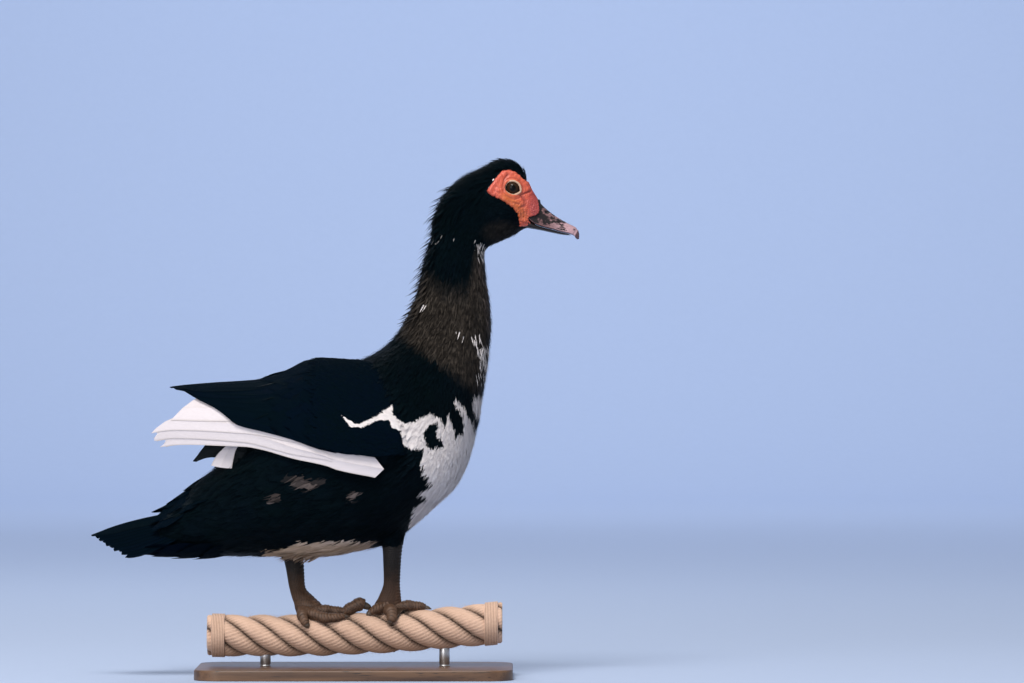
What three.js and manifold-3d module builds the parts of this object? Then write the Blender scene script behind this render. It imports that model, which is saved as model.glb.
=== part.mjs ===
// A female muscovy duck at life size, standing on a short length of thick rope that a plain display stand holds.
// Millimetres, +Z up. The bird faces +X, its right side looks along -Y, and the origin is the middle of the
// underside of the stand's base.
import * as THREE from "three";
import { mergeVertices } from "three/addons/utils/BufferGeometryUtils.js";
import Module from "manifold-3d";

const wasm = await Module();
wasm.setup();

// Driving dimensions
const GAP = 0.3; // what touching pieces keep between them
const BASE = { length: 300, width: 170, thick: 10, corner: 26, chamfer: 1.6 };
const ROD_RADIUS = 5;
const ROD_AT = [-85, 85];
const ROPE = { radius: 20, groove: 4.4, strands: 4, pitch: 116, from: -140, to: 140, whipping: 13 };
const EYE = { x: 149.3, y: 14.4, z: 464.6, radius: 7.2, lid: 8.0, rim: 1.25 };
// Where each leg passes, from its feathered hem down to the rope
const LEG = {
  y: 22,
  sole: 74,
  toes: 62,
  right: { ankle: 36.4, hem: 124.6, shank: 35.4, foot: 31 },
  left: { ankle: -59.7, hem: 112, shank: -55, foot: -44.5 },
};
const TAIL = { pairs: 6, root: -136, tip: -249.8, width: 26, roof: 38, spread: 7, shorter: 5.5 };
const VANE = 1.1; // thickness of a feather at its shaft
const EDGE_VANE = 0.5; // and at its edges
const EDGE_DROP = 0.3; // how far the edges lie below the shaft
const FLAT_VANE = 0.8; // thickness of a small flat feather
const FAR_WING_DROOP = 12; // the left wing's long feathers hang this much lower
const SEED = 7;

// The height of the rope's middle line: it sags a little under the bird
const ropeLevel = (x) => 38.94 + 0.000238 * (x + 90) ** 2;

// A smooth curve through a few points [x, y], which never swings past them
function through(points) {
  const slopes = points.slice(1).map(([x, y], i) => (y - points[i][1]) / (x - points[i][0]));
  const lean = points.map((_, i) => {
    const [before, after] = [slopes[Math.max(i - 1, 0)], slopes[Math.min(i, slopes.length - 1)]];
    return before * after <= 0 ? 0 : (2 * before * after) / (before + after);
  });
  return (x) => {
    const last = points.length - 1;
    if (x <= points[0][0]) return points[0][1];
    if (x >= points[last][0]) return points[last][1];
    const i = points.findIndex(([px]) => px > x) - 1;
    const span = points[i + 1][0] - points[i][0];
    const t = (x - points[i][0]) / span;
    const ease = t * t * (3 - 2 * t);
    const bend = t * (1 - t) * ((1 - t) * lean[i] - t * lean[i + 1]) * span;
    return points[i][1] * (1 - ease) + points[i + 1][1] * ease + bend;
  };
}

// The same small variation at each run
let state = SEED;
function vary(amount) {
  state = (state * 16807) % 2147483647;
  return amount * ((2 * state) / 2147483647 - 1);
}

const mix = (a, b, t) => a + (b - a) * t;
const signedPower = (value, power) => Math.sign(value) * Math.abs(value) ** power;
const SIDES = { right: -1, left: 1 };

// Solids from points and triangles
function solid(geometry) {
  const bare = geometry.clone();
  bare.deleteAttribute("normal");
  bare.deleteAttribute("uv");
  const merged = mergeVertices(bare, 1e-3);
  const triVerts = new Uint32Array(merged.index.array);
  const vertProperties = merged.attributes.position.array;
  return new wasm.Manifold(new wasm.Mesh({ numProp: 3, vertProperties, triVerts }));
}

function closed(points, faces) {
  const enclosed = faces.reduce((sum, [a, b, c]) => {
    return sum + points[a].dot(new THREE.Vector3().crossVectors(points[b], points[c]));
  }, 0);
  const index = faces.flatMap(([a, b, c]) => (enclosed > 0 ? [a, b, c] : [a, c, b]));
  const geometry = new THREE.BufferGeometry().setFromPoints(points).setIndex(index);
  return solid(geometry);
}

// A skin over rings of equal count, closed by a fan at both ends
function loft(rings) {
  const count = rings[0].length;
  const points = rings.flat();
  const faces = [];
  for (let i = 0; i + 1 < rings.length; i++) {
    for (let j = 0; j < count; j++) {
      const [a, b] = [i * count + j, i * count + ((j + 1) % count)];
      faces.push([a, b, b + count], [a, b + count, a + count]);
    }
  }
  for (const [ring, turn] of [[0, 1], [rings.length - 1, 0]]) {
    const middle = points.length;
    const sum = rings[ring].reduce((total, p) => total.add(p), new THREE.Vector3());
    points.push(sum.divideScalar(count));
    for (let j = 0; j < count; j++) {
      const [a, b] = [ring * count + j, ring * count + ((j + 1) % count)];
      faces.push(turn ? [b, a, middle] : [a, b, middle]);
    }
  }
  return closed(points, faces);
}

// A thin plate between two grids of points, with its triangles alike on both faces
function plate(upper, lower) {
  const [rows, columns] = [upper.length, upper[0].length];
  const points = [...upper.flat(), ...lower.flat()];
  const under = rows * columns;
  const faces = [];
  for (let i = 0; i + 1 < rows; i++) {
    for (let j = 0; j + 1 < columns; j++) {
      const [a, b] = [i * columns + j, i * columns + j + 1];
      const [c, d] = [a + columns, b + columns];
      faces.push([a, b, d], [a, d, c]);
      faces.push([under + a, under + d, under + b], [under + a, under + c, under + d]);
    }
  }
  const wall = (a, b) => faces.push([a, under + a, under + b], [a, under + b, b]);
  for (let j = 0; j + 1 < columns; j++) {
    wall(j, j + 1);
    wall((rows - 1) * columns + j + 1, (rows - 1) * columns + j);
  }
  for (let i = 0; i + 1 < rows; i++) {
    wall((i + 1) * columns, i * columns);
    wall(i * columns + columns - 1, (i + 1) * columns + columns - 1);
  }
  return closed(points, faces);
}

const largest = (made) => made.decompose().reduce((a, b) => (b.volume() > a.volume() ? b : a));
const joined = (solids) => largest(solids.reduce((sum, one) => sum.add(one)));

// Half of space, on the side that the direction points to, half a gap clear of the plane
function beyond(point, direction, clearance = GAP / 2) {
  const size = 1200;
  const box = new THREE.BoxGeometry(size, size, size).translate(0, 0, size / 2 + clearance);
  const turn = new THREE.Quaternion().setFromUnitVectors(new THREE.Vector3(0, 0, 1), direction.clone().normalize());
  return solid(box.applyQuaternion(turn).translate(...point.toArray()));
}

// Profiles of the bird, seen from its right side and from above
const torsoTop = through([[-158, 176], [-151, 184], [-135, 197], [-109, 218], [-86, 248], [-65, 276], [-45, 293],
  [-20, 300], [5, 302], [40, 300], [78, 282], [98, 240], [104, 212]]);
const torsoBottom = through([[-158, 124], [-150, 119], [-130, 114], [-110, 113.5], [-73, 113], [-37, 112.5], [0, 117.5],
  [24, 123], [49, 137], [77, 162], [98, 187], [104, 205]]);
const torsoHalf = through([[-158, 20], [-135, 38], [-100, 54], [-50, 70], [0, 76], [40, 72], [78, 52], [98, 18],
  [104, 5]]);
const neckBack = through([[120, 10], [140, -14], [165, -26], [239, -28], [262, -20], [283, -8], [298, 2], [308, 20],
  [324, 38], [336, 46], [354, 54], [368, 58.7], [388, 63], [405, 68], [420, 72], [436, 76], [450, 86]]);
const neckFront = through([[120, 26], [137, 49], [161, 77], [184, 100], [207, 110.3], [239, 118.2], [262, 122.1],
  [283, 125.2], [305, 127.6], [336, 129.7], [354, 128.4], [370, 126.1], [388, 124.3], [405, 124.2], [420, 128],
  [450, 130]]);
const neckHalf = through([[120, 14], [137, 36], [161, 56], [184, 67], [207, 72], [239, 71], [262, 66], [283, 57],
  [298, 49], [310, 42], [324, 36.5], [345, 30.5], [361, 27.5], [388, 25], [405, 24], [420, 23.5], [450, 15]]);
const headTop = through([[72, 424], [77, 438], [81, 447.5], [88, 458.5], [98, 468], [108, 476.5], [120, 483],
  [130, 488.3], [140, 491.4], [148, 490.6], [155, 486.4], [160, 480], [163.5, 472.5], [168.6, 461.5], [174, 453.8],
  [180, 449]]);
const headBottom = through([[72, 424], [80, 404], [100, 398], [120, 402.5], [127, 408.3], [138, 414.9], [149, 420.4],
  [157, 422.8], [165, 424.2], [180, 424.6]]);
const headHalf = through([[72, 4], [78, 14], [90, 20.5], [105, 23.8], [120, 24.6], [135, 23.6], [150, 20.4], [160, 16.6],
  [168, 13.6], [180, 12.2]]);

// One ring of the trunk at x, squarer than an ellipse, widest a little below the middle
function torsoRing(x, grow = 0) {
  const count = 18;
  const [top, bottom, half] = [torsoTop(x) + grow, torsoBottom(x) - grow, torsoHalf(x) + grow];
  const level = mix(bottom, top, 0.46);
  return Array.from({ length: count }, (_, j) => {
    const angle = (2 * Math.PI * (j + 0.5)) / count;
    const [across, up] = [signedPower(Math.sin(angle), 0.88), signedPower(Math.cos(angle), 0.9)];
    return new THREE.Vector3(x, half * across, level + up * (up > 0 ? top - level : level - bottom));
  });
}

// One level ring of the breast and neck at height z, a little narrower behind than in front
function neckRing(z, grow = 0) {
  const count = 14;
  const [back, front, half] = [neckBack(z) - grow, neckFront(z) + grow, neckHalf(z) + grow];
  const middle = mix(back, front, 0.54);
  return Array.from({ length: count }, (_, j) => {
    const angle = (2 * Math.PI * j) / count;
    const [ahead, across] = [signedPower(Math.cos(angle), 0.94), signedPower(Math.sin(angle), 0.94)];
    return new THREE.Vector3(middle + ahead * (ahead > 0 ? front - middle : middle - back), half * across, z);
  });
}

function headRing(x, grow = 0) {
  const count = 16;
  const [top, bottom, half] = [headTop(x) + grow, headBottom(x) - grow, headHalf(x) + grow];
  const level = mix(bottom, top, 0.47);
  return Array.from({ length: count }, (_, j) => {
    const angle = (2 * Math.PI * (j + 0.5)) / count;
    const [across, up] = [signedPower(Math.sin(angle), 0.9), signedPower(Math.cos(angle), 0.96)];
    return new THREE.Vector3(x, half * across, level + up * (up > 0 ? top - level : level - bottom));
  });
}

const steps = (from, to, count) => Array.from({ length: count + 1 }, (_, i) => mix(from, to, i / count));
const torsoBody = (grow) => loft(steps(-158 - grow, 104 + grow, 13).map((x) => torsoRing(x, grow)));
const neckBody = (grow) => loft(steps(122, 448, 16).map((z) => neckRing(z, grow)));
const headBody = (grow) => loft(steps(72 - grow, 180, 12).map((x) => headRing(x, grow)));

// Where the bird's body is parted: a point on each cut, and the way to the part nearer the bill
const at = (x, z) => new THREE.Vector3(x, 0, z);
const CUTS = {
  bill: [at(171, 440), new THREE.Vector3(0.969, 0, -0.249)],
  head: [at(95, 413), new THREE.Vector3(0.26, 0, 0.966)],
  neck: [at(92, 352), new THREE.Vector3(0.1, 0, 0.995)],
  breast: [at(72, 286), new THREE.Vector3(0.38, 0, 0.925)],
  rump: [at(-84, 180), new THREE.Vector3(1, 0, 0.35)],
  tail: [at(-140, 150), new THREE.Vector3(1, 0, 0.3)],
};
const ahead = (cut) => beyond(CUTS[cut][0], CUTS[cut][1]);
const behind = (cut) => beyond(CUTS[cut][0], CUTS[cut][1].clone().negate());

const wholeBody = torsoBody(0).add(neckBody(0)).add(headBody(0));
const bodyWithRoom = torsoBody(GAP).add(neckBody(GAP));

// The wing's outer face: a quarter ellipse from the ridge of the back down to the flank, then straight down
const wingTop = through([[-205, 262], [-175, 275], [-147, 278], [-109, 281.5], [-86, 284.5], [-65, 291.5], [-45, 301.5],
  [-32, 304], [5, 304.5], [40, 301], [70, 285]]);
const wingLevel = through([[-205, 226], [-150, 226], [-100, 222], [-50, 212], [0, 204], [70, 200]]);
const wingHalf = through([[-205, 19], [-175, 27], [-135, 41], [-100, 55], [-50, 76], [0, 84], [40, 79], [70, 52]]);

// A point on the wing, "down" millimetres along its face from the ridge, raised off the face by "lift"
function onWing(side, x, down, lift) {
  const face = (px, pd) => {
    const [half, high] = [wingHalf(px), wingTop(px) - wingLevel(px)];
    const quarter = (Math.PI / 4) * (half + high);
    const angle = Math.min(pd / quarter, 1) * (Math.PI / 2);
    const drop = Math.max(pd - quarter, 0);
    return new THREE.Vector3(px, half * Math.sin(angle), wingLevel(px) + high * Math.cos(angle) - drop);
  };
  const step = 2;
  const along = face(x + step, down).sub(face(x - step, down));
  const across = face(x, down + step).sub(face(x, Math.max(down - step, 0)));
  const normal = new THREE.Vector3().crossVectors(across, along).normalize();
  if (normal.y < 0) normal.negate();
  const point = face(x, down).addScaledVector(normal, lift);
  return new THREE.Vector3(point.x, side * point.y, point.z);
}

// How far down the wing's face a height z lies
function downWing(x, z) {
  const [half, high] = [wingHalf(x), wingTop(x) - wingLevel(x)];
  const quarter = (Math.PI / 4) * (half + high);
  const rise = (z - wingLevel(x)) / high;
  return rise > 0 ? (Math.acos(Math.min(rise, 1)) / (Math.PI / 2)) * quarter : quarter + wingLevel(x) - z;
}

// One feather on a face given by place(along, across, lift): a thin plate with a raised shaft and a round tip.
// Its root lies "sink" under the face, its tip "rise" over it, and "roll" lifts one edge over its neighbour.
// A small one is flat, with no shaft.
function feather(place, { root, tip, width, sink = 1.2, rise = 2, roll = 0, rows = 3, thick = VANE, flat = false }) {
  const outline = through([[0, 0.45], [0.3, 0.9], [0.6, 1], [0.85, 0.9], [1, 0.45]]);
  const depth = (edge) => (flat ? FLAT_VANE : edge ? EDGE_VANE : thick - EDGE_DROP);
  const [dx, dy] = [tip[0] - root[0], tip[1] - root[1]];
  const long = Math.hypot(dx, dy);
  const grid = (under) => steps(0, 1, rows).map((t) => {
    const lift = mix(-sink, rise, Math.min(t * 1.25, 1));
    return (flat ? [-1, 1] : [-1, 0, 1]).map((edge) => {
      const reach = t * (edge ? 0.94 : 1);
      const off = edge * (width / 2) * outline(t);
      const height = lift + edge * roll - (edge ? EDGE_DROP : 0) - (under ? depth(edge) : 0);
      return place(root[0] + dx * reach - (dy / long) * off, root[1] + dy * reach + (dx / long) * off, height);
    });
  });
  return plate(grid(false), grid(true));
}

// A band of the wing between two heights, from one x to another, thick from "over" down to "under" off the face
function band(side, { from, to, high, low, over, under, stations, columns }) {
  const grid = (lift) => steps(from, to, stations).map((x) => {
    return steps(high(x), low(x), columns).map((down) => onWing(side, x, down, lift));
  });
  return plate(grid(over), grid(under));
}

// The edges of the wing's feather groups, seen from the side
const wingRidge = through([[-175, 2], [-112, 5], [-60, 9], [-20, 22], [20, 36], [66, 50]]);
const wingHem = through([[-175, 272], [-158, 269], [-151, 264], [-134, 256.5], [-122, 249], [-111, 240], [-83, 233],
  [-57, 225], [-32, 214.6], [-4, 208], [28, 203], [66, 214]]);
const flightCrown = through([[-191, 230], [-170, 247], [-152, 260], [-134, 260], [-111, 246], [-83, 239], [-57, 231],
  [-32, 220], [-4, 214], [28, 209]]);
const flightHem = through([[-108, 217.3], [-57, 207], [-19, 197], [21, 188.6]]);
// How far off the wing's face each layer lies, and the step between two feathers of a fan
const LAYER = { core: -3.2, flight: -4.6, root: -6.8, step: 1.15 };

// Keeps a feather that lies along the ridge on its own side of the back
function clearOfRidge(down, least = 1.2, soft = 7) {
  return down < least + soft ? least + soft * Math.exp((down - least - soft) / soft) : down;
}
const wingPlace = (side) => (x, down, lift) => onWing(side, x, clearOfRidge(down), lift);
// A place in the wing's own flow: 0 at the ridge, 1 at the hem
const flow = (x, part) => [x, mix(wingRidge(x), downWing(x, wingHem(x)), part)];

function wingCovert(side) {
  const place = wingPlace(side);
  const core = band(side, { from: 66, to: -104, high: wingRidge, low: (x) => downWing(x, wingHem(x) + 3), over: 0,
    under: LAYER.core, stations: 8, columns: 4 });
  const coverts = [0.25, 0.5, 0.75, 1].flatMap((part, row) => steps(14 - (row % 2) * 12, -76, 3).map((x) => {
    const [root, tip] = [flow(x + 40, part - 0.12), flow(x + vary(2), part - 0.04)];
    return feather(place, { root, tip, width: 32 + vary(2), rise: 1.8, roll: -0.7, rows: 2, flat: true });
  }));
  const tips = [[-175, 274.3], [-161, 270], [-149, 264], [-134, 256.8], [-119, 248.4]];
  const tertials = tips.map(([x, z], i) => {
    const root = flow(-48 + 5 * i, 0.14 + 0.2 * i);
    return feather(place, { root, tip: [x, downWing(x, z)], width: 30, rise: 3.4 - 0.9 * i, roll: -0.5 });
  });
  return joined([core, ...coverts, ...tertials]).subtract(bodyWithRoom);
}

// The long white feathers fan out under the black ones, each a step further in than the one above it
function wingFlight(side, droop) {
  const high = (x) => downWing(x, flightCrown(x));
  const low = (x) => downWing(x, flightHem(x) + 1);
  const root = band(side, { from: 24, to: -60, high, low, over: LAYER.flight, under: LAYER.root, stations: 5,
    columns: 1 });
  const fan = steps(0, 1, 6).map((t, i) => {
    const x = mix(-150, -191, Math.min(t * 1.3, 1)) + (t > 0.9 ? 12 : 0);
    const z = mix(257, 226.5, t) - droop * (1 - t * 0.3);
    const [fromX, fromZ] = [mix(-38, 12, t), mix(226, 197.5, t)];
    return feather(wingPlace(side), { root: [fromX, downWing(fromX, fromZ)], tip: [x, downWing(x, z)], width: 17,
      thick: 0.8, sink: -LAYER.flight + 1 + 0.1 * i, rise: LAYER.flight - LAYER.step * i - 0.1 });
  });
  return joined([root, ...fan]).subtract(bodyWithRoom);
}

const nodes = [];
function node(name, made, colour, roughness = 0.6, metalness = 0) {
  nodes.push({ name, made: largest(made), colour, roughness, metalness });
}

// Stand
function standBase() {
  const outline = (inset, z) => {
    const [length, width, corner] = [BASE.length / 2 - inset, BASE.width / 2 - inset, BASE.corner - inset];
    return [[1, 1, 0], [-1, 1, 90], [-1, -1, 180], [1, -1, 270]].flatMap(([sx, sy, start]) =>
      steps(start, start + 90, 4).map((degrees) => {
        const angle = THREE.MathUtils.degToRad(degrees);
        const [cx, cy] = [sx * (length - corner), sy * (width - corner)];
        return new THREE.Vector3(cx + corner * Math.cos(angle), cy + corner * Math.sin(angle), z);
      }));
  };
  return loft([outline(0, 0), outline(0, BASE.thick - BASE.chamfer), outline(BASE.chamfer, BASE.thick)]);
}

function ropeBody(grow = 0) {
  const count = 16;
  const ring = (x) => Array.from({ length: count }, (_, j) => {
    const around = (2 * Math.PI * j) / count;
    const lobe = Math.abs(Math.cos((ROPE.strands / 2) * around)) ** 0.7;
    const radius = ROPE.radius - ROPE.groove * (1 - lobe) + grow;
    const angle = around + (2 * Math.PI * x) / ROPE.pitch;
    return new THREE.Vector3(x, -radius * Math.sin(angle), ropeLevel(x) + radius * Math.cos(angle));
  });
  return loft(steps(ROPE.from - grow, ROPE.to + grow, 22).map(ring));
}

// Twine wound round the rope's cut end
function whipping(end) {
  const ring = (x, radius) => Array.from({ length: 16 }, (_, j) => {
    const angle = (2 * Math.PI * j) / 16;
    return new THREE.Vector3(x, radius * Math.sin(angle), ropeLevel(x) + radius * Math.cos(angle));
  });
  const inward = -Math.sign(end);
  const [first, last] = [end + inward * 4, end + inward * (4 + ROPE.whipping)];
  return loft([ring(first, ROPE.radius + 0.9), ring(last, ROPE.radius + 0.9)]);
}

const ropeWithRoom = ropeBody(GAP);
node("stand_base", standBase(), 0x6b4a33, 0.5);
ROD_AT.forEach((x, i) => {
  const high = ropeLevel(x) - BASE.thick - GAP;
  const rod = new THREE.CylinderGeometry(ROD_RADIUS, ROD_RADIUS, high, 14).rotateX(Math.PI / 2);
  const name = i ? "stand_rod_front" : "stand_rod_rear";
  node(name, solid(rod.translate(x, 0, BASE.thick + GAP + high / 2)).subtract(ropeWithRoom), 0x9a9a9a, 0.35, 1);
});
node("perch_rope", joined([ropeBody(), whipping(ROPE.from), whipping(ROPE.to)]), 0xc4a38c, 0.9);

// Bill: both halves are lofted along x, from the face to the nail at the tip
const culmen = through([[165, 457], [172, 454], [176.5, 448.6], [185, 440.4], [192.7, 434.8], [203.5, 428.8],
  [210, 425.4], [212.6, 421.5]]);
const mouth = through([[165, 432.4], [168, 431.8], [179.5, 429.6], [187.2, 426.4], [198.1, 422.6], [206, 420],
  [209.6, 417.7], [212, 415.8]]);
const jawBottom = through([[165, 424.6], [171, 424.6], [181.7, 422.7], [192.7, 420.2], [203.5, 417.6], [206, 417.4]]);
const billHalf = through([[165, 12], [175, 11.6], [185, 10.6], [195, 10.2], [203, 9.6], [208, 7.8], [211, 5.2],
  [212.6, 2.2]]);

function billUpper() {
  const count = 12;
  const ring = (x) => Array.from({ length: count }, (_, j) => {
    const angle = (2 * Math.PI * (j + 0.5)) / count;
    const up = Math.cos(angle);
    const [low, high] = [mouth(x) + 1.2, culmen(x) - mouth(x) - 1.2];
    const z = up > 0 ? low + high * up ** 1.15 : low + 1.2 * up;
    return new THREE.Vector3(x, billHalf(x) * signedPower(Math.sin(angle), 0.9), z);
  });
  const nostrils = Object.values(SIDES).map((side) => {
    const pit = new THREE.SphereGeometry(1.5, 6, 4).scale(1.9, 1.3, 0.9);
    return solid(pit.rotateY(0.45).translate(182.6, side * 7.4, 440));
  });
  return nostrils.reduce((body, pit) => body.subtract(pit), loft(steps(165, 212.6, 10).map(ring)));
}

function billLower() {
  const ring = (x) => Array.from({ length: 10 }, (_, j) => {
    const angle = (2 * Math.PI * (j + 0.5)) / 10;
    const [top, bottom] = [mouth(x) - GAP, jawBottom(x)];
    const middle = (top + bottom) / 2;
    return new THREE.Vector3(x, (billHalf(x) - 0.9) * signedPower(Math.sin(angle), 0.7),
      middle + ((top - bottom) / 2) * signedPower(Math.cos(angle), 0.7));
  });
  return loft(steps(165, 205.5, 6).map(ring));
}

node("bill_upper", billUpper().intersect(ahead("bill")), 0x5a4a4c, 0.4);
node("bill_lower", billLower().intersect(ahead("bill")), 0xb08a8c, 0.45);

// Head: the bare red face runs through it, with lids and caruncles raised on it
const eyeball = (side, grow = 0) =>
  solid(new THREE.SphereGeometry(EYE.radius + grow, 10, 7).translate(EYE.x, side * EYE.y, EYE.z));
const eyeRoom = eyeball(-1, GAP).add(eyeball(1, GAP));
const FACE_EDGE = [[190, 478], [159.5, 472], [154.5, 477.5], [147.9, 481], [140.3, 480.4], [136, 475.5],
  [125.6, 461.3], [129.4, 458], [138.1, 454], [144.6, 449.8], [152.3, 444.3], [156.4, 438.5], [157.6, 432.4],
  [157.4, 426.5], [158, 415], [190, 415]];

function faceBlock(inset) {
  const middle = [160, 450];
  const edge = FACE_EDGE.map(([x, z]) => {
    const away = Math.hypot(x - middle[0], z - middle[1]);
    return new THREE.Vector2(x - (inset * (x - middle[0])) / away, z - (inset * (z - middle[1])) / away);
  });
  const deep = 80;
  const block = new THREE.ExtrudeGeometry(new THREE.Shape(edge), { depth: deep, bevelEnabled: false });
  return solid(block.rotateX(Math.PI / 2).translate(0, deep / 2, 0));
}

// The head's half-width at a place on its side
function headSide(x, z) {
  const [top, bottom] = [headTop(x), headBottom(x)];
  const level = mix(bottom, top, 0.47);
  const rise = Math.min(Math.abs(z - level) / (z > level ? top - level : level - bottom), 1);
  return headHalf(x) * Math.sqrt(Math.max(1 - rise ** 2.15, 0));
}

function caruncles(side) {
  const brow = through([[133, 468], [141, 475.5], [148, 477], [155, 472.5], [161, 467]]);
  const lids = new THREE.TorusGeometry(EYE.lid, EYE.rim, 4, 10).rotateX(Math.PI / 2).rotateZ(side * -0.16);
  const rows = steps(135, 160, 3).map((x) => [x, brow(x), 2.3]);
  const bridge = steps(0, 1, 1).map((t) => [mix(164, 169.5, t), mix(462, 452.5, t), mix(2.8, 3.5, t)]);
  const gape = [[166, 441, 2.6]];
  const bulbs = [...rows, ...bridge, ...gape].map(([x, z, radius]) => {
    const bulb = new THREE.SphereGeometry(radius + vary(0.4), 5, 4).scale(1.2, 0.9, 1);
    return solid(bulb.translate(x, side * (headSide(x, z) - 0.4), z));
  });
  return [solid(lids.translate(EYE.x, side * (EYE.y + 4.2), EYE.z)), ...bulbs];
}

// The crest, the nape and the shaggy neck: feathers in rows down a spine from the forehead to the shoulders
const spine = new THREE.CatmullRomCurve3([at(160, 462), at(138, 456), at(113, 447), at(98, 428), at(94, 400),
  at(90, 365), at(84, 335), at(70, 303), at(52, 280)]);
const spineLength = spine.getLength();

// A place over the bird's body, "along" the spine from the forehead and "across" from the middle line
function onCoat(made) {
  const { vertProperties, triVerts } = made.getMesh();
  const surface = new THREE.BufferGeometry();
  surface.setAttribute("position", new THREE.BufferAttribute(vertProperties, 3));
  surface.setIndex(new THREE.BufferAttribute(triVerts, 1));
  const mesh = new THREE.Mesh(surface, new THREE.MeshStandardMaterial());
  const ray = new THREE.Raycaster();
  const [reach, radius] = [90, 27];
  return (along, across, lift) => {
    const [centre, way] = [spine.getPointAt(along / spineLength), spine.getTangentAt(along / spineLength)];
    const angle = across / radius;
    const out = new THREE.Vector3(way.z * Math.cos(angle), Math.sin(angle), -way.x * Math.cos(angle));
    ray.set(centre.clone().addScaledVector(out, reach), out.clone().negate());
    const [hit] = ray.intersectObject(mesh);
    return (hit ? hit.point : centre).clone().addScaledVector(out, lift);
  };
}

function coatRows(place, from, to, rowCount, { columns, gap, length, width, rise, settle = 0 }) {
  return steps(from, to, rowCount).flatMap((along, row) => {
    const shift = (row % 2) / 2;
    return steps(-columns, columns, 2 * columns).map((column) => {
      const across = (column + shift) * gap;
      const tip = [along + length + vary(2), across * 1.04 + vary(1.5)];
      const height = rise - settle * row + vary(0.8);
      return feather(place, { root: [along, across], tip, width, rise: height, rows: 2, flat: true });
    });
  });
}

const headAlone = headBody(0).add(neckBody(0)).intersect(ahead("head"));
const face = joined([headAlone, ...caruncles(-1), ...caruncles(1)]).intersect(faceBlock(0));
node("face", face.intersect(behind("bill")).subtract(eyeRoom), 0xe0664e, 0.55);
const coat = onCoat(wholeBody);
const crown = coatRows(coat, 9, 41, 2, { columns: 1, gap: 15, length: 29, width: 14.6, rise: 2.6, settle: 0 });
const nape = coatRows(coat, 57, 70, 1, { columns: 1, gap: 19, length: 24, width: 18, rise: 3 });
const neckRoom = neckBody(GAP).intersect(beyond(CUTS.head[0], CUTS.head[1].clone().negate(), -GAP / 2));
const headCoat = joined([headAlone, ...crown, ...nape]).subtract(faceBlock(-GAP));
node("head", headCoat.subtract(neckRoom).subtract(eyeRoom), 0x14181a, 0.4);
node("eye_right", eyeball(-1), 0x2a1a12, 0.1);
node("eye_left", eyeball(1), 0x2a1a12, 0.1);

// Neck and body: each length of the neck carries its own feathers, which end short of the next length's
const roomBelow = (cut) => bodyWithRoom.intersect(beyond(CUTS[cut][0], CUTS[cut][1].clone().negate(), -GAP / 2));
const neckUpper = wholeBody.intersect(behind("head")).intersect(ahead("neck"));
const neckLower = wholeBody.intersect(behind("neck")).intersect(ahead("breast"));
const upperLocks = coatRows(coat, 103, 122, 1, { columns: 1, gap: 19, length: 25, width: 18, rise: 3 });
const lowerLocks = coatRows(coat, 162, 184, 1, { columns: 1, gap: 24, length: 28, width: 22, rise: 2.4 });
node("neck_upper", joined([neckUpper, ...upperLocks]).subtract(roomBelow("neck")), 0x1c1a18, 0.6);
node("neck_lower", joined([neckLower, ...lowerLocks]).subtract(roomBelow("breast")), 0x1c1a18, 0.6);
node("torso", wholeBody.intersect(behind("breast")).intersect(ahead("rump")), 0x30302e, 0.6);
node("rump", wholeBody.intersect(behind("rump")).intersect(ahead("tail")), 0x101314, 0.45);

// Tail: the long feathers fan out over a roof, the middle one on top and each pair lower, outside it and shorter
const tailRidge = through([[-250, 134.6], [-233, 141.5], [-210, 148.6], [-182, 155], [-150, 161], [-130, 165]]);
const tailUnder = through([[-212, 115], [-190, 112.6], [-160, 111.6], [-130, 115]]);
const coverRidge = through([[-190, 158], [-182, 161], [-164.5, 174.5], [-151.8, 184.5], [-135, 196.5], [-120, 209]]);
const roofSlope = THREE.MathUtils.degToRad(TAIL.roof);

function roofPlace(ridge) {
  return (x, across, lift) => {
    const off = Math.abs(across);
    const slope = Math.sin(roofSlope) * Math.min(off / 6, 1);
    const y = Math.sign(across) * (off * Math.cos(roofSlope) + lift * slope);
    return new THREE.Vector3(x, y, ridge(x) - off * slope + lift * Math.cos(roofSlope));
  };
}

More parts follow.
